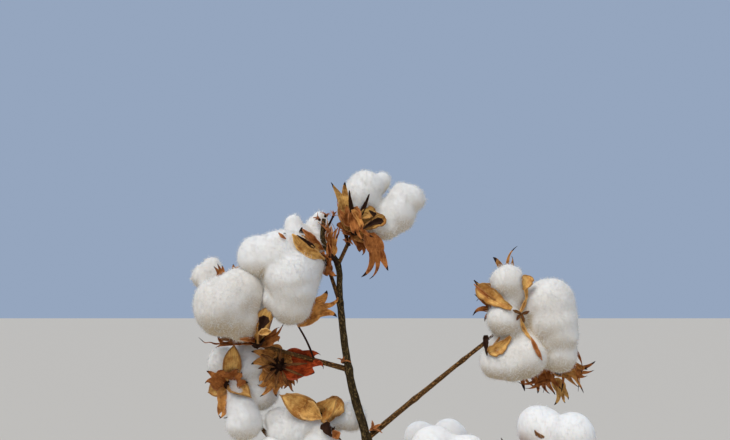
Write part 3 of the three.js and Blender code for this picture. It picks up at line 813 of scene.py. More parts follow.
def lint_finish(colours):
    """Matte white fibre with a fine felted grain; painted shade makes it warmer and darker in its
    creases, near the burr and underneath.
    """
    finish = Finish(
        "lint_fibre", Roughness=1.0,
        **{"Subsurface Weight": 0.35, "Subsurface Radius": (1.0, 0.86, 0.7), "Subsurface Scale": 5 * MM,
           "Sheen Weight": 0.25, "Sheen Roughness": 0.6, "Specular IOR Level": 0.15},
    )
    where = finish.place()
    crease = finish.field("crease", output="Fac")
    cloud = finish.noise(where, 60.0, 3.0)
    # Painted shade: the crease attribute mixes the fibre towards its shaded colour.
    tint = finish.clamped(crease + (cloud - 0.5) * 0.2)
    finish.surface(**{"Base Color": finish.mix(tint, colours.lint, colours.lint_painted_shade)})
    felt = finish.noise(finish.scaled(where, (1.0, 1.0, 0.45)), 900.0, 4.0, 0.6)
    tufts = finish.noise(where, 260.0, 3.0, 0.6)
    finish.bump(felt * 0.25 + tufts, 0.6 * MM, 0.33)
    return finish.material


def husk_finish(name, colour, border, roughness, shade, rim):
    """Dry husk, veined along its length, with freckles and dark patches of the given shade. Its rim
    takes a share of the border's colour. Its field runs across, along and by piece."""
    finish = Finish(name, Roughness=roughness, **{"Specular IOR Level": 0.12})
    leaf = finish.field("leaf")
    veins = finish.noise(finish.scaled(leaf, (1.5, 0.16, 1.0)), 0.9, 3.0, 0.6)
    blotch = finish.noise(leaf, 0.14, 4.0, 0.65)
    freckles = finish.mask(finish.noise(leaf, 0.75, 2.0), 0.62, 0.72)
    dark = tuple(channel * part * shade for channel, part in zip(colour, (1.0, 0.72, 0.55)))
    pale = tuple(min(1.0, channel * 1.45 + 0.01) for channel in colour)
    toned = finish.mix(finish.mask(blotch, 0.34, 0.62), dark, colour)
    toned = finish.mix(finish.mask(veins, 0.52, 0.72) * 0.7, toned, pale)
    toned = finish.mix(finish.mask(veins, 0.46, 0.32) * 0.6, toned, dark)
    toned = finish.mix(freckles * 0.6, toned, dark)
    edge = finish.mask(finish.field("rim", output="Fac"), 0.5, 1.0)
    toned = finish.mix(edge * rim, toned, border)
    finish.surface(**{"Base Color": toned})
    finish.bump(veins + blotch * 0.6, 0.5 * MM, 0.8)
    return finish.material


def across_of(way):
    """A level direction square to way."""
    guide = UP if abs(way[2]) < 0.9 else np.array((0.0, 1.0, 0.0))
    return unit(np.cross(guide, way))


def add_tube(heap, line, radius_at, sides, ring, start=0.0):
    """A closed round limb whose radius is a function of shares, turns and centres."""
    rings = max(3, int(line.length * (1 - start) / ring) + 1)
    shares = np.linspace(start, 1, rings)
    centres, ways = line.at(shares), line.way(shares)
    turns = np.arange(sides) * 2 * math.pi / sides
    circle = np.stack([np.cos(turns), np.sin(turns)], axis=-1)
    side = across_of(ways[0])
    out = []
    for way in ways:
        side = unit(side - way * np.dot(side, way))
        out.append(circle[:, :1] * side + circle[:, 1:] * np.cross(way, side))
    radius = radius_at(shares[:, None], turns[None], centres[:, None])
    radius = np.broadcast_to(radius, (rings, sides))[..., None]
    grid = centres[:, None] + np.array(out) * radius
    along = np.broadcast_to((shares * line.length)[:, None, None], (rings, sides, 1))
    field = np.concatenate([circle * radius, along], axis=-1)
    heap.add_grid(grid, field, around=True)
    rim = np.arange(sides)
    cap = np.stack([np.full(sides, sides), rim, np.roll(rim, -1)], axis=-1)
    for row, faces in ((0, cap[:, ::-1]), (-1, cap)):
        points = np.vstack([grid[row], centres[row]])
        fields = np.vstack([field[row], field[row].mean(axis=0)])
        heap.add(points, [faces], fields)


def add_ball(heap, centre, radius):
    """A round ball on a grid of rows and columns."""
    rows, columns = 8, 12
    falls = np.linspace(0.02, math.pi - 0.02, rows)[:, None]
    turns = np.arange(columns)[None] * 2 * math.pi / columns
    grid = np.stack([
        np.sin(falls) * np.cos(turns), np.sin(falls) * np.sin(turns), np.cos(falls) + 0 * turns,
    ], axis=-1)
    heap.add_grid(centre + grid * radius, around=True, flip=True)


def blade_steps(rows, columns):
    """Shares from a blade's foot to its tip, down a column, and from -1 to 1 across it, along a row."""
    return np.linspace(0, 1, rows)[:, None], np.linspace(-1, 1, columns)[None, :]


def leaf_field(across, along, seed, rim):
    """A blade's field: its way across and along, a number of its own, and how near its rim is."""
    return np.stack(np.broadcast_arrays(across, along, float(seed), rim), axis=-1)


def add_shell(front, back, grid, leaf, thick):
    """A thin closed blade around a grid: its face and rim go to one heap, its back to another."""
    along = np.gradient(grid, axis=0)
    across = np.gradient(grid, axis=1)
    normal = np.cross(across, along)
    normal /= np.maximum(np.linalg.norm(normal, axis=-1, keepdims=True), 1e-9)
    top, under = grid + normal * thick / 2, grid - normal * thick / 2
    front.add_grid(top, leaf)
    back.add_grid(under, leaf, flip=True)
    edge = [(0, slice(None)), (slice(None), -1), (-1, slice(None, None, -1)), (slice(None, None, -1), 0)]
    upper = np.vstack([top[part] for part in edge])
    lower = np.vstack([under[part] for part in edge])
    fields = np.vstack([leaf[part] for part in edge])
    front.add_grid(np.stack([lower, upper]), np.stack([fields, fields]))


def add_valve(front, back, boll, row, index, thick):
    """A woody valve: a pointed boat that cups the boll, with a keel and a curled tip."""
    reach, width, bulge, facing = row
    bulge = VALVE_BULGE if bulge is None else bulge
    seed = boll.seed * 7 + index
    length = np.linalg.norm(reach)
    way = reach / length
    side = unit(np.cross(way, facing))
    inner = np.cross(side, way)
    u, v = blade_steps(22, 13)
    body = np.minimum(1, u / 0.93)
    oval = np.maximum(0, 1 - (2 * body ** 1.4 - 1) ** 2) ** 0.75
    profile = oval + 0.16 * (1 - u) + 0.035 * (1 - u ** 8)
    half = width / 2 * profile
    roll = spread(seed, 1, 0.8, 1.15)
    angle = v * roll
    across = half * np.sin(angle) / math.sin(roll)
    depth = half * (1 - np.cos(angle)) / math.sin(roll) * 1.3
    bow = bulge * length * 4 * u * (1 - u)
    curl = -spread(seed, 2, 0.05, 0.2) * length * np.maximum(0, (u - 0.66) / 0.34) ** 2
    twist = spread(seed, 3, -0.5, 0.5) * u ** 2
    ripple = 0.45 * np.sin(u * 9 + v * 3 + seed) + 0.3 * np.sin(u * 21 - v * 2 + seed)
    off = depth + bow + curl + ripple * profile + twist * across
    keel = -0.5 * np.exp(-(v / 0.16) ** 2) * profile
    sway = spread(seed, 4, -0.06, 0.06) * length * np.sin(math.pi * u)
    grid = (
        boll.middle + reach * u[..., None] + side * (across + sway)[..., None]
        + inner * (off + keel)[..., None]
    )
    rim = np.maximum(np.abs(v) ** 2, u ** 6)
    add_shell(front, back, grid, leaf_field(across, u * length, 17 * seed, rim), thick)


def lint_shares(line, side, broad, lint):
    """For each point of a line, the share of the way there from the viewing point at which the lint is
    met first over a blade's breadth, or None."""
    eye = (VIEWED_FROM * MM).tolist()
    shares = []
    for point in line:
        ways = [point + side * broad * share - VIEWED_FROM for share in (-0.4, -0.2, 0, 0.2, 0.4)]
        hits = [lint.ray_cast(eye, unit(way).tolist())[3] for way in ways]
        met = [hit / MM / np.linalg.norm(way) for way, hit in zip(ways, hits) if hit is not None]
        shares.append(min(met, default=None))
    return shares


def add_laid(front, back, boll, row, seed, lint):
    """A narrow blade that lies on the lint as it is seen from the front, its far end lifted off."""
    from_x, from_z, to_x, to_z, width, tint, lift, *ahead = row
    start, end = np.array((from_x, 0.0, from_z)), np.array((to_x, 0.0, to_z))
    length = np.linalg.norm(end - start)
    side = np.cross((end - start) / length, (0, -1, 0))
    u = np.linspace(0, 1, 18)
    v = np.linspace(-1, 1, 7)
    line = boll.middle + start + np.outer(u, end - start)
    far = boll.middle[1] - VIEWED_FROM[1]
    thick, clear, unmet = 0.7, 0.8, 8
    broad = {"dark": 18, "husk": 8}.get(tint, max(width, 5))
    shares = [] if ahead else lint_shares(line, side, broad, lint)
    seen = [i for i, share in enumerate(shares) if share is not None]
    if seen:
        depth = np.interp(u, u[seen], [shares[i] for i in seen])
    else:
        before = ahead[0] if ahead else unmet
        depth = np.full(len(u), 1 - before / far)
    for _ in range(3):
        ends = np.concatenate([depth[:1], depth, depth[-1:]])
        depth = 0.25 * ends[:-2] + 0.5 * ends[1:-1] + 0.25 * ends[2:]
    # A dark blade is painted shade: a wedge that stands for the shadow in a burr's cavity.
    if tint == "dark":
        half = width / 2 * ((1 - u) ** 0.8 + 0.05) * np.minimum(1, 0.5 + 3 * u)
    elif tint == "husk":
        half = width / 2 * (0.14 + 0.86 * u ** 0.8) * (1 - 0.8 * u ** 9)
    else:
        half = width / 2 * (np.maximum(0, 1 - (2 * u - 1) ** 2) ** 1.1 + 0.08)
    half = half * (1 + 0.09 * np.sin(u * 13 + seed) + 0.06 * np.sin(u * 29 + 2 * seed))
    ripple = 0.5 * np.sin(u * 8 + seed) + 0.25 * np.sin(u * 19 + 2 * seed)
    raised = clear + lift * (0.3 + 0.7 * u ** 1.5) + 0.3 * np.abs(ripple)
    line = VIEWED_FROM + (line - VIEWED_FROM) * (depth - raised / far)[:, None]
    across = np.outer(half, v)
    sway = 0.09 * length * np.sin(math.pi * u) * spread(seed, 1, -1, 1)
    grid = line[:, None] + side * (across + sway[:, None])[..., None]
    grid[..., 1] -= np.outer(half, 0.7 * v ** 2 - 0.12 * np.exp(-(v / 0.2) ** 2))
    rim = np.maximum(np.abs(v) ** 2, (u ** 6)[:, None])
    add_shell(front, back, grid, leaf_field(across, u[:, None] * length, 17 * seed, rim), thick)


def bent(length, curl):
    """How far a blade that curls away from its flat has come along and off, at each step."""
    shares = np.linspace(0, 1.4, 40)
    angle = curl * shares ** 1.6
    step = shares[1] * length
    along = np.concatenate([[0], np.cumsum(np.cos(angle[1:]) * step)])
    off = np.concatenate([[0], np.cumsum(np.sin(angle[1:]) * step)])
    return shares, along, off


def add_bract(heap, tips, base, row, teeth, seed, thick, curl=0.5, whole=0.7):
    """A dry bract: a crumpled heart-shaped blade whose far edge is torn into long curling teeth. It is
    whole for that share of its length. The ends of its teeth go to a heap of their own."""
    reach, width, _, up = row
    length = np.linalg.norm(reach)
    way = reach / length
    side = unit(np.cross(way, up))
    face = np.cross(side, way)
    shares, run_along, run_off = bent(length, curl * spread(seed, 1, -0.4, 1.3))
    twist = spread(seed, 2, -0.5, 0.5)
    bend = spread(seed, 4, -0.12, 0.12) * length

    def to_place(x, y, z, rim):
        share = y / length
        along = np.interp(share, shares, run_along)
        off = np.interp(share, shares, run_off)
        fold = 0.16 * width * (2 * np.abs(x) / width) ** 1.7
        flat = leaf_field(x, y, 23 * seed, rim)
        points = flat[..., :3].reshape(-1, 3)
        crumple = 2.2 * waves(points, 9, seed) + 0.9 * waves(points, 3.6, seed + 1)
        height = off + z + fold + crumple.reshape(x.shape) * np.minimum(1, share * 3)
        height = height + twist * x * share
        aside = x + bend * np.sin(math.pi * np.minimum(1, share))
        return (base + way * along[..., None] + side * aside[..., None] + face * height[..., None]), flat

    torn = 1.06 - whole
    each = 4
    middle = each // 2
    u, v = blade_steps(13, each * teeth + 1)
    edge = whole - 0.22 * np.abs(v) ** 1.6
    half = width / 2 * (0.16 + 0.84 * np.sin(math.pi * np.minimum(1, 0.12 + u * 0.62)) ** 0.9)
    body_x, body_y = v * half, u * edge * length
    pleat = 0.09 * width * np.abs(np.sin((v + 1) * teeth * math.pi / 2))
    grid, leaf = to_place(body_x, body_y, pleat * u, np.abs(v) ** 5 + 0 * u)
    add_shell(heap, heap, grid, leaf, thick)
    t, tooth = blade_steps(10, each + 1)
    tip_starts = 7
    for i in range(teeth):
        part = slice(each * i, each * i + each + 1)
        ends_x, ends_y = body_x[-1, part], body_y[-1, part]
        mid_x, mid_y = ends_x[middle], ends_y[middle]
        centre = v[0, each * i + middle]
        turn = centre * 0.55 + spread(seed, 20 + i, -0.15, 0.15)
        turn = (turn + spread(seed, 80 + i, -0.7, 0.7) * t ** 2) * (0.36 / torn)
        out = length * (torn - 0.08 * abs(centre) ** 1.5) * spread(seed, 40 + i, 0.45, 1.15)
        hook = spread(seed, 60 + i, -0.7, 1.5)
        narrow = (1 - t) ** 0.75 * (1 - 0.15 * t) + 0.03
        x = mid_x + (ends_x - mid_x) * narrow + np.sin(turn) * out * t
        y = mid_y + (ends_y - mid_y) * narrow + np.cos(turn) * out * t
        cup = np.abs(tooth) * 0.22 * width / teeth * narrow
        z = hook * out * 0.5 * t ** 2.2 + cup + pleat[:, part] * narrow
        grid, leaf = to_place(x, y, z, tooth ** 2 * np.minimum(1, 2 * t))
        add_shell(heap, heap, grid[:tip_starts + 1], leaf[:tip_starts + 1], thick * 0.8)
        add_shell(tips, tips, grid[tip_starts:], leaf[tip_starts:], thick * 0.8)


def add_twig(heap, points, foot, tip):
    """A small bare twig along points, with the radius of its foot and of its tip."""
    add_tube(heap, Line(points), lambda shares, turns, centres: foot + (tip - foot) * shares, 8, 1.2)


def add_bud(leaves, cores, at, way, size, seed):
    """A small dry bud: a core in a whorl of narrow pointed leaves."""
    way = unit(way)
    count, thick = 6, 0.35
    add_ball(cores, at, size * 0.2)
    u, v = blade_steps(7, 3)
    half = size * 0.17 * np.sin(math.pi * (0.18 + 0.8 * u)) ** 0.8
    for i in range(count):
        out = turned(heading(360 * i / count + spread(seed, i, -25, 25), 0), way)
        lean = spread(seed, 20 + i, 0.25, 1.1)
        length = size * spread(seed, 40 + i, 0.6, 1.15)
        side = np.cross(way, out)
        bend = lean * (0.5 + 0.9 * u)
        rise, aside = u * np.cos(bend) * length, u * np.sin(bend) * length
        along = way * rise[..., None] + out * aside[..., None]
        cup = out * (0.3 * half * v ** 2)[..., None]
        grid = at + along + side * (half * v)[..., None] - cup
        leaf = leaf_field(half * v, u * length, 31 * (seed + i), np.abs(v))
        add_shell(leaves, leaves, grid, leaf, thick)


def ball_template():
    """Points and faces of a fine ball, to copy into puffs of lint."""
    mesh = bmesh.new()
    bmesh.ops.create_icosphere(mesh, subdivisions=3, radius=1)
    points = np.array([vertex.co[:] for vertex in mesh.verts])
    faces = np.array([[vertex.index for vertex in face.verts] for face in mesh.faces])
    mesh.free()
    return points, faces


def lock_puffs(boll, reach, width, start, index):
    """The round puffs that a lock of lint is made of, from its narrow end at the burr to its tip."""
    seed = boll.seed * 13 + index
    base = boll.middle + boll.axis * 4
    length = np.linalg.norm(reach)
    reach_end = max(0.3, 1 - width / 2 / length)
    puffs = []
    steps, bumps = 7, 5
    for k in range(steps):
        t = k / (steps - 1)
        share = start + (reach_end - start) * t
        radius = width / 2 * (0.36 + 0.62 * t ** 0.75)
        puffs.append((base + reach * share, radius))
    for k in range(bumps):
        about = unit([spread(seed, 3 * k + i, -1, 1) for i in range(3)])
        share = reach_end * spread(seed, 50 + k, 0.7, 1.0)
        radius = width / 2 * spread(seed, 70 + k, 0.5, 0.66)
        puffs.append((base + reach * share + about * (width / 2 * 1.02 - radius), radius))
    return puffs


def relaxed(points, edges, times):
    """Points drawn half way to the mean of their neighbours, again and again."""
    count = len(points)
    a, b = edges[:, 0], edges[:, 1]
    links = np.bincount(a, minlength=count) + np.bincount(b, minlength=count)
    links = np.maximum(links, 1)[:, None]
    for _ in range(times):
        total = np.stack([
            np.bincount(a, points[b, k], count) + np.bincount(b, points[a, k], count) for k in range(3)
        ], axis=-1)
        points = points + 0.5 * (total / links - points)
    return points


def mesh_arrays(mesh):
    """A mesh's points, in millimetres, and the two points of each of its edges."""
    points = np.empty(len(mesh.vertices) * 3)
    mesh.vertices.foreach_get("co", points)
    edges = np.empty(len(mesh.edges) * 2, int)
    mesh.edges.foreach_get("vertices", edges)
    return points.reshape(-1, 3) / MM, edges.reshape(-1, 2)


def normals_of(mesh):
    """The direction that the surface faces at each point of a mesh."""
    normals = np.empty(len(mesh.vertices) * 3)
    mesh.vertices.foreach_get("normal", normals)
    return normals.reshape(-1, 3)


def shift(mesh, points):
    """Moves a mesh's points, given in millimetres."""
    mesh.vertices.foreach_set("co", (points * MM).ravel())
    mesh.update()


def melted(boll, name, cell, template):
    """One surface round all the puffs of a boll, with cells of the given size."""
    points, faces = template
    puffs = [
        puff for i, (reach, width, start, _) in enumerate(boll.locks)
        for puff in lock_puffs(boll, reach, width, start or 0.1, i)
    ]
    puffs.append((boll.middle + boll.axis * 13, 9))
    heap = Heap()
    for centre, radius in puffs:
        heap.add(centre + points * radius, [faces])
    rough = bpy.data.meshes.new("puffs")
    rough.from_pydata((np.vstack(heap.points) * MM).tolist(), [], np.vstack(heap.faces).tolist())
    holder = bpy.data.objects.new("puffs", rough)
    bpy.context.scene.collection.objects.link(holder)
    melt = holder.modifiers.new("melt", "REMESH")
    melt.mode = "VOXEL"
    melt.voxel_size = cell
    graph = bpy.context.evaluated_depsgraph_get()
    mesh = bpy.data.meshes.new_from_object(holder.evaluated_get(graph))
    bpy.data.objects.remove(holder)
    bpy.data.meshes.remove(rough)
    mesh.name = name
    return mesh


def lint_mesh(boll, name, cell, template):
    """Puffs melted into one soft surface, its creases kept, its skin lumpy."""
    mesh = melted(boll, name, cell, template)
    points, edges = mesh_arrays(mesh)
    smoothing, hollow_reach, finishing = 14, 50, 4
    soft = relaxed(points, edges, smoothing)
    shift(mesh, soft)
    normals = normals_of(mesh)
    hollow = np.einsum("ij,ij->i", relaxed(soft, edges, hollow_reach) - soft, normals)
    crease = np.clip((hollow - 0.1) / 1.6, 0, 1)
    filled = 0.55 * np.maximum(0, hollow)
    lumps = (
        1.1 * waves(soft, 24, boll.seed + 3) + 0.7 * waves(soft, 13, boll.seed)
        + 0.28 * waves(soft, 5.5, boll.seed + 1, 9)
    )
    soft = relaxed(soft + normals * (filled + lumps * (1 - 0.6 * crease))[:, None], edges, finishing)
    shift(mesh, soft)
    mesh.shade_smooth()
    # Painted shade: the crease attribute darkens and warms the fibre in its creases, near the burr's
    # middle, on its undersides, and by the boll's own share of painted shade.
    near = 1 - np.clip(np.linalg.norm(soft - boll.middle, axis=1) / 26, 0, 1)
    under = np.clip(-0.1 - normals_of(mesh)[:, 2], 0, 1) ** 0.8
    store(mesh, "crease", np.clip(crease * 0.95 + near * 0.45 + under + boll.painted_shade, 0, 1))
    return mesh


def add_fuzz(heap, mesh, count, length, seed):
    """Loose fibres that lie along the lint and lift off it, each a thin tapering ribbon."""
    mesh.calc_loop_triangles()
    corners = np.empty(len(mesh.loop_triangles) * 3, int)
    mesh.loop_triangles.foreach_get("vertices", corners)
    corners = corners.reshape(-1, 3)
    points, _ = mesh_arrays(mesh)
    normals = normals_of(mesh)
    draw = np.random.default_rng(seed)
    a, b, c = (points[corners[:, k]] for k in range(3))
    area = np.linalg.norm(np.cross(b - a, c - a), axis=1)
    chosen = draw.choice(len(corners), count, p=area / area.sum())
    mixed = draw.dirichlet((1, 1, 1), count)
    root = sum(points[corners[chosen, k]] * mixed[:, k:k + 1] for k in range(3))
    normal = unit(sum(normals[corners[chosen, k]] * mixed[:, k:k + 1] for k in range(3)))
    loose = draw.normal(size=(count, 3))
    flat = unit(loose - normal * np.einsum("ij,ij->i", loose, normal)[:, None])
    side = np.cross(normal, flat)
    reach = length * draw.uniform(0.5, 1.35, (count, 1))
    lift = draw.uniform(0.05, 0.55, (count, 1)) ** 1.4 * reach
    swing = draw.uniform(-0.6, 0.6, (count, 1))
    width = draw.uniform(0.06, 0.12, (count, 1))
    middle = root + flat * reach * 0.5 + normal * (lift * 0.75 + 0.2) + side * swing * reach * 0.18
    tip = root + flat * reach * 0.92 + normal * lift * 0.9 + side * swing * reach * 0.6
    root = root - normal * 0.3
    ribbon = np.stack([root - side * width, root + side * width, middle - side * width,
                       middle + side * width, tip], axis=1).reshape(-1, 3)
    first = np.arange(count)[:, None] * 5
    heap.add(ribbon, [first + np.array([[0, 1, 3, 2]]), first + np.array([[2, 3, 4]])])


def bark_radius(bare_at, nodes, relief, seed, length):
    """A limb's radius with fissures and lumps in its bark, and a swelling at each of its nodes."""
    def radius(shares, turns, centres):
        bare = bare_at(shares, centres)
        run = shares * length
        around = bare * 1.5
        coords = np.broadcast_arrays(np.cos(turns) * around, np.sin(turns) * around, run * 0.22)
        coords = np.stack(coords, axis=-1)
        shape = coords.shape[:2]
        coords = coords.reshape(-1, 3)
        fissures = waves(coords, 1.5, seed, 11).reshape(shape)
        lumps = waves(coords, 6.0, seed + 1).reshape(shape)
        swell = sum(0.22 * np.exp(-((shares - node) * length / 3.4) ** 2) for node in nodes)
        return bare * (1 + swell) + relief * (fissures + 0.9 * lumps) * np.minimum(1, bare / 3)
    return radius


class CottonStem(bpy.types.Operator):
    """Main stem with fissured bark, swollen nodes and its root flare"""
    bl_idname = "cotton.stem"
    bl_label = "Main stem"

    def execute(self, context):
        sizes, colours = context.scene.cotton_sizes, context.scene.cotton_colours
        heights = [bough["height"] for bough in BOUGHS] + STEM_SCARS
        nodes = [stem_share(height) for height in heights]

        def bare_at(shares, centres):
            height = centres[..., 2]
            return stem_radius(height) + FLARE * np.exp(-height / FLARE_HEIGHT)

        radius = bark_radius(bare_at, nodes, sizes.bark_relief / MM, 4, STEM.length)
        heap = Heap()
        add_tube(heap, STEM, radius, 30, sizes.bark_ring / MM, start=stem_share(0))
        above_ground = (-np.inf, -np.inf, 0)
        heap.points = [np.maximum(points, above_ground) for points in heap.points]
        finish = bark_finish("bark_dark", colours.bark, colours.bark_light)
        heap.build("stem_bark", finish, "bark", ["main_stem"], field="bark")
        return {"FINISHED"}


class CottonBoughs(bpy.types.Operator):
    """Fruiting boughs and boll stalks, each a tapering limb with swollen nodes"""
    bl_idname = "cotton.boughs"
    bl_label = "Boughs"

    def execute(self, context):
        sizes, colours = context.scene.cotton_sizes, context.scene.cotton_colours
        relief = sizes.bark_relief / MM * 0.7
        heap = Heap()
        for number, bough in enumerate(BOUGHS):
            line = LINES[bough["name"]]
            pieces = internodes(bough)
            nodes = [i / pieces for i in range(1, pieces)] + [1.0]

            def bare_at(shares, centres, foot=bough["radius"]):
                return foot + (BOUGH_TIP_RADIUS - foot) * shares

            radius = bark_radius(bare_at, nodes, relief, 20 + number, line.length)
            add_tube(heap, line, radius, 16, sizes.bark_ring / MM)
        for boll in (*BOLLS, EMPTY):
            bend = boll.foot + boll.leave * boll.stalk * 0.5
            line = Line([boll.foot, bend, boll.middle])

            def stalk_at(shares, centres):
                return BOUGH_TIP_RADIUS * (0.95 + 0.5 * shares ** 3)

            radius = bark_radius(stalk_at, [0.0], relief * 0.5, boll.seed, line.length)
            add_tube(heap, line, radius, 14, 1.0)
        light = [channel * gain for channel, gain in zip(colours.bark_light, (2.0, 1.5, 1.2))]
        finish = bark_finish("bark_brown", colours.bark_bough, light)
        heap.build("bough_bark", finish, "bark", [bough["name"] for bough in BOUGHS], field="bark")
        return {"FINISHED"}


class CottonLint(bpy.types.Operator):
    """Lint of every boll, its locks melted from puffs, and the loose fibres on it"""
    bl_idname = "cotton.lint"
    bl_label = "Lint"

    def execute(self, context):
        sizes, colours = context.scene.cotton_sizes, context.scene.cotton_colours
        finish = lint_finish(colours)
        template = ball_template()
        top, low = Heap(), Heap()
        for number, boll in enumerate(BOLLS, 1):
            cell = sizes.lint_cell if boll.fine else sizes.lint_cell_far
            mesh = lint_mesh(boll, f"lint_{number:02d}", cell, template)
            place(mesh, mesh.name, finish, [f"boll_{number:02d}_lint"])
            count = sizes.fibres if boll.fine else sizes.fibres // 4
            add_fuzz(top if boll.fine else low, mesh, count, sizes.fibre_length / MM, boll.seed)
        top.build("lint_fuzz_top", finish, "lint", [])
        low.build("lint_fuzz_low", finish, "lint", [])
        return {"FINISHED"}


class Husks:
    """The heaps that husks and bracts are gathered in, by tint, and how thick they are."""

    def __init__(self, sizes):
        self.faces, self.backs, self.cups, self.tips = Heap(), Heap(), Heap(), Heap()
        self.tints = {name: Heap() for name in ("gold", "red", "tan", "rust")}
        # Dark laid blades, painted shade in the burrs' cavities, are gathered with the dark tips.
        self.tints.update(dark=self.tips, brown=self.backs)
        self.valve_thick = sizes.valve_thick / MM
        self.bract_thick = sizes.bract_thick / MM

    def bract(self, tint, base, row, teeth, seed, **shape):
        add_bract(self.tints[tint], self.tips, base, row, teeth, seed, self.bract_thick, **shape)

    def burr(self, boll, lint):
        """The valves, laid blades, loose bracts, bracts and cup of one boll."""
        front, back = (self.tips, self.tips) if lint is None else (self.faces, self.backs)
        for i, row in enumerate(boll.valves):
            add_valve(front, back, boll, row, i, self.valve_thick)
        for i, row in enumerate(boll.laid):
            front, back = (self.tints.get(row[5], husk) for husk in (self.faces, self.backs))
            add_laid(front, back, boll, row, boll.seed * 17 + i, lint)
        for i, (*foot, x, y, z, width, teeth, tint) in enumerate(boll.loose):
            row = (np.array((x, y, z), float), width, None, FRONT)
            self.bract(tint, boll.middle + foot, row, teeth, 600 + i, whole=0.58)
        for i, row in enumerate(boll.bracts):
            seed = boll.seed * 5 + i
            tint = row[2] or ("tan" if chance(seed, 9) < 0.55 else "rust")
            teeth = 3 + int(3 * chance(seed, 10)) if row[1] > 13 else 2 + int(2 * chance(seed, 10))
            self.bract(tint, boll.middle - boll.axis * 2, row, teeth, seed)
        add_ball(self.cups, boll.middle - boll.axis, CUP_RADIUS)

    def dry_leaf(self):
        """The curled leaf and its thin stalk from the left bough."""
        self.bract("tan", LEAF_FOOT, (LEAF_REACH, LEAF_WIDTH, None, FRONT), 3, 77, curl=0.3)
        joint = LINES["left_bough"].at(0.4)
        add_twig(self.cups, [joint, (joint + LEAF_FOOT) / 2 + (1, 1, 0), LEAF_FOOT], 0.9, 0.7)

    def dry_bud(self):
        """The bud at the fork, closed in its bracts, and its spur."""
        for i, (azimuth, tint) in enumerate(BUD_BRACTS):
            out = heading(azimuth, 0)
            heap = self.tints[tint]
            row = (UP * BUD_LENGTH + out * 2, BUD_WIDTH, None, out)
            add_bract(heap, heap, BUD_FOOT, row, 5, 90 + i, self.bract_thick, curl=-0.2, whole=0.5)
        add_ball(self.cups, BUD_FOOT, 3.0)
        add_twig(self.cups, [stem_at(872), (-94.5, -4, 876), BUD_FOOT], 1.2, 1.2)

    def small_buds(self):
        """The buds at the tip and at the nodes, and the two twigs beside the tip."""
        for at, way, size, seed in SMALL_BUDS:
            add_bud(self.tints["rust"], self.cups, np.array(at, float), way, size, seed)
        add_twig(self.cups, [stem_at(899), (-100.5, -0.5, 906), TIP_TWIG_END], 1.0, 0.8)
        add_twig(self.cups, [(-84.0, -0.5, 889.5), (-85.5, -3, 893), SIDE_TWIG_END], 1.2, 1.0)


class CottonBurrs(bpy.types.Operator):
    """Burrs: the cup, the woody valves and the toothed dry bracts of every boll, and the dry buds"""
    bl_idname = "cotton.burrs"
    bl_label = "Burrs and bracts"

    def execute(self, context):
        colours = context.scene.cotton_colours
        husks = Husks(context.scene.cotton_sizes)
        graph = context.evaluated_depsgraph_get()
        for number, boll in enumerate(BOLLS, 1):
            husks.burr(boll, BVHTree.FromObject(bpy.data.objects[f"lint_{number:02d}"], graph))
        husks.burr(EMPTY, None)
        husks.dry_leaf()
        husks.dry_bud()
        husks.small_buds()

        deep = colours.bract_dark_and_shade
        face = husk_finish(
            "husk_face", colours.husk, colours.husk_back, roughness=0.42, shade=0.55, rim=0.7
        )
        back = husk_finish("husk_back", colours.husk_back, deep, roughness=0.6, shade=0.5, rim=0.5)
        dark = husk_finish("husk_cup", deep, deep, roughness=0.8, shade=0.5, rim=0.5)
        nodes = [f"boll_{number:02d}_burr" for number in range(1, len(BOLLS) + 1)] + ["empty_burr_1"]
        husks.faces.build("husk_faces", face, "burr", nodes, field="leaf")
        husks.backs.build("husk_backs", back, "burr", [], field="leaf")
        husks.cups.build("burr_cups", dark, "burr", [], field="leaf")
        for tint, colour, dressed in (
            ("gold", colours.bract_gold, []), ("red", colours.bract_red, []),
            ("tan", colours.bract_tan, ["dry_leaf_1"]), ("rust", colours.bract_rust, ["dry_bud_1"]),
        ):
            name = f"bracts_{tint}"
            pale = [min(1.0, channel * 1.3 + 0.10) for channel in colour]
            finish = husk_finish(name, colour, pale, roughness=0.7, shade=0.42, rim=0.35)
            husks.tints[tint].build(name, finish, "dry_leaf", dressed, field="leaf")
        # The dark tips, with the dark laid blades that are painted shade in the burrs' cavities
        husks.tips.build("bract_tips_and_shade", dark, "dry_leaf", [], field="leaf")
        return {"FINISHED"}


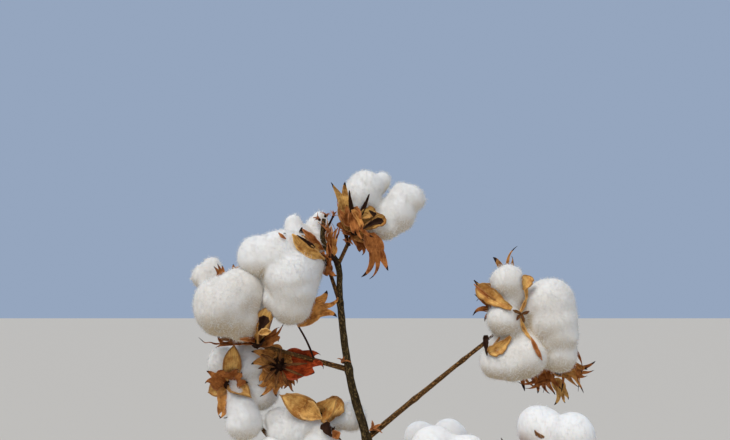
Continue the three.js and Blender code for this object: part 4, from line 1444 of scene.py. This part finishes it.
class CottonStage(bpy.types.Operator):
    """Pale floor, soft studio light, and the camera that sees the plant's top from the front"""
    bl_idname = "cotton.stage"
    bl_label = "Stage"

    def execute(self, context):
        scene = context.scene
        self.lay_floor(scene)
        self.light(scene)
        self.set_camera(scene)
        scene.view_settings.view_transform = "Standard"
        return {"FINISHED"}

    def lay_floor(self, scene):
        half = scene.cotton_sizes.floor_size / 2
        mesh = bpy.data.meshes.new("floor")
        corners = [(-half, -half, 0), (half, -half, 0), (half, half, 0), (-half, half, 0)]
        mesh.from_pydata(corners, [], [(0, 1, 2, 3)])
        floor = bpy.data.objects.new("floor", mesh)
        scene.collection.objects.link(floor)
        finish = Finish("floor_pale", Roughness=0.9)
        finish.surface(**{"Base Color": scene.cotton_colours.floor})
        mesh.materials.append(finish.material)

    def light(self, scene):
        """A pale blue surround, a soft sun and two broad lamps, each with its place and width in metres,
        or the sun's width as an angle, its power and its colour."""
        world = bpy.data.worlds.new("studio")
        world.use_nodes = True
        surround = world.node_tree.nodes["Background"].inputs
        surround["Color"].default_value = (0.30, 0.38, 0.52, 1)
        surround["Strength"].default_value = 1.0
        scene.world = world
        lights = (
            ("sun", "SUN", (-0.7, -0.9, 2.5), math.radians(40), 2.0, (1.0, 0.97, 0.93)),
            ("fill", "AREA", (0.6, -2.2, 1.2), 1.8, 3.4, (1.0, 0.96, 0.92)),
            ("back", "AREA", (0.5, 1.8, 2.2), 1.4, 8, (1.0, 0.98, 0.95)),
        )
        aim = np.array((-0.06, 0.0, 0.82))
        for name, kind, position, width, power, colour in lights:
            data = bpy.data.lights.new(name, kind)
            if kind == "SUN":
                data.angle = width
            else:
                data.size = width
            data.energy = power
            data.color = colour
            light = bpy.data.objects.new(name, data)
            light.location = position
            away = aim - np.array(position)
            level = math.hypot(away[0], away[1])
            light.rotation_euler = (math.atan2(level, -away[2]), 0, math.atan2(-away[0], away[1]))
            scene.collection.objects.link(light)

    def set_camera(self, scene):
        data = bpy.data.cameras.new("camera")
        data.lens = VIEW_LENS
        data.sensor_width = VIEW_SENSOR
        data.clip_end = 200
        camera = bpy.data.objects.new("camera", data)
        camera.location = VIEWED_FROM * MM
        camera.rotation_euler = (math.radians(90 + VIEW_PITCH), 0, 0)
        scene.collection.objects.link(camera)
        scene.camera = camera


class CottonPanel(bpy.types.Panel):
    """Lists the pieces of the cotton plant"""
    bl_idname = "VIEW3D_PT_cotton"
    bl_label = "Cotton plant"
    bl_space_type = "VIEW_3D"
    bl_region_type = "UI"
    bl_category = "Cotton"

    def draw(self, context):
        for operator in OPERATORS:
            self.layout.operator(operator.bl_idname)
        for group in (context.scene.cotton_sizes, context.scene.cotton_colours):
            column = self.layout.column()
            for name in group.__annotations__:
                column.prop(group, name)


OPERATORS = (CottonStage, CottonStem, CottonBoughs, CottonLint, CottonBurrs)
GROUPS = (CottonSizes, CottonColours)


def register():
    for group in (*GROUPS, *OPERATORS, CottonPanel):
        bpy.utils.register_class(group)
    bpy.types.Scene.cotton_sizes = PointerProperty(type=CottonSizes)
    bpy.types.Scene.cotton_colours = PointerProperty(type=CottonColours)


def unregister():
    del bpy.types.Scene.cotton_colours
    del bpy.types.Scene.cotton_sizes
    for group in reversed((*GROUPS, *OPERATORS, CottonPanel)):
        bpy.utils.unregister_class(group)


def main():
    register()
    for operator in OPERATORS:
        group, name = operator.bl_idname.split(".")
        getattr(getattr(bpy.ops, group), name)()


if __name__ == "__main__":
    main()
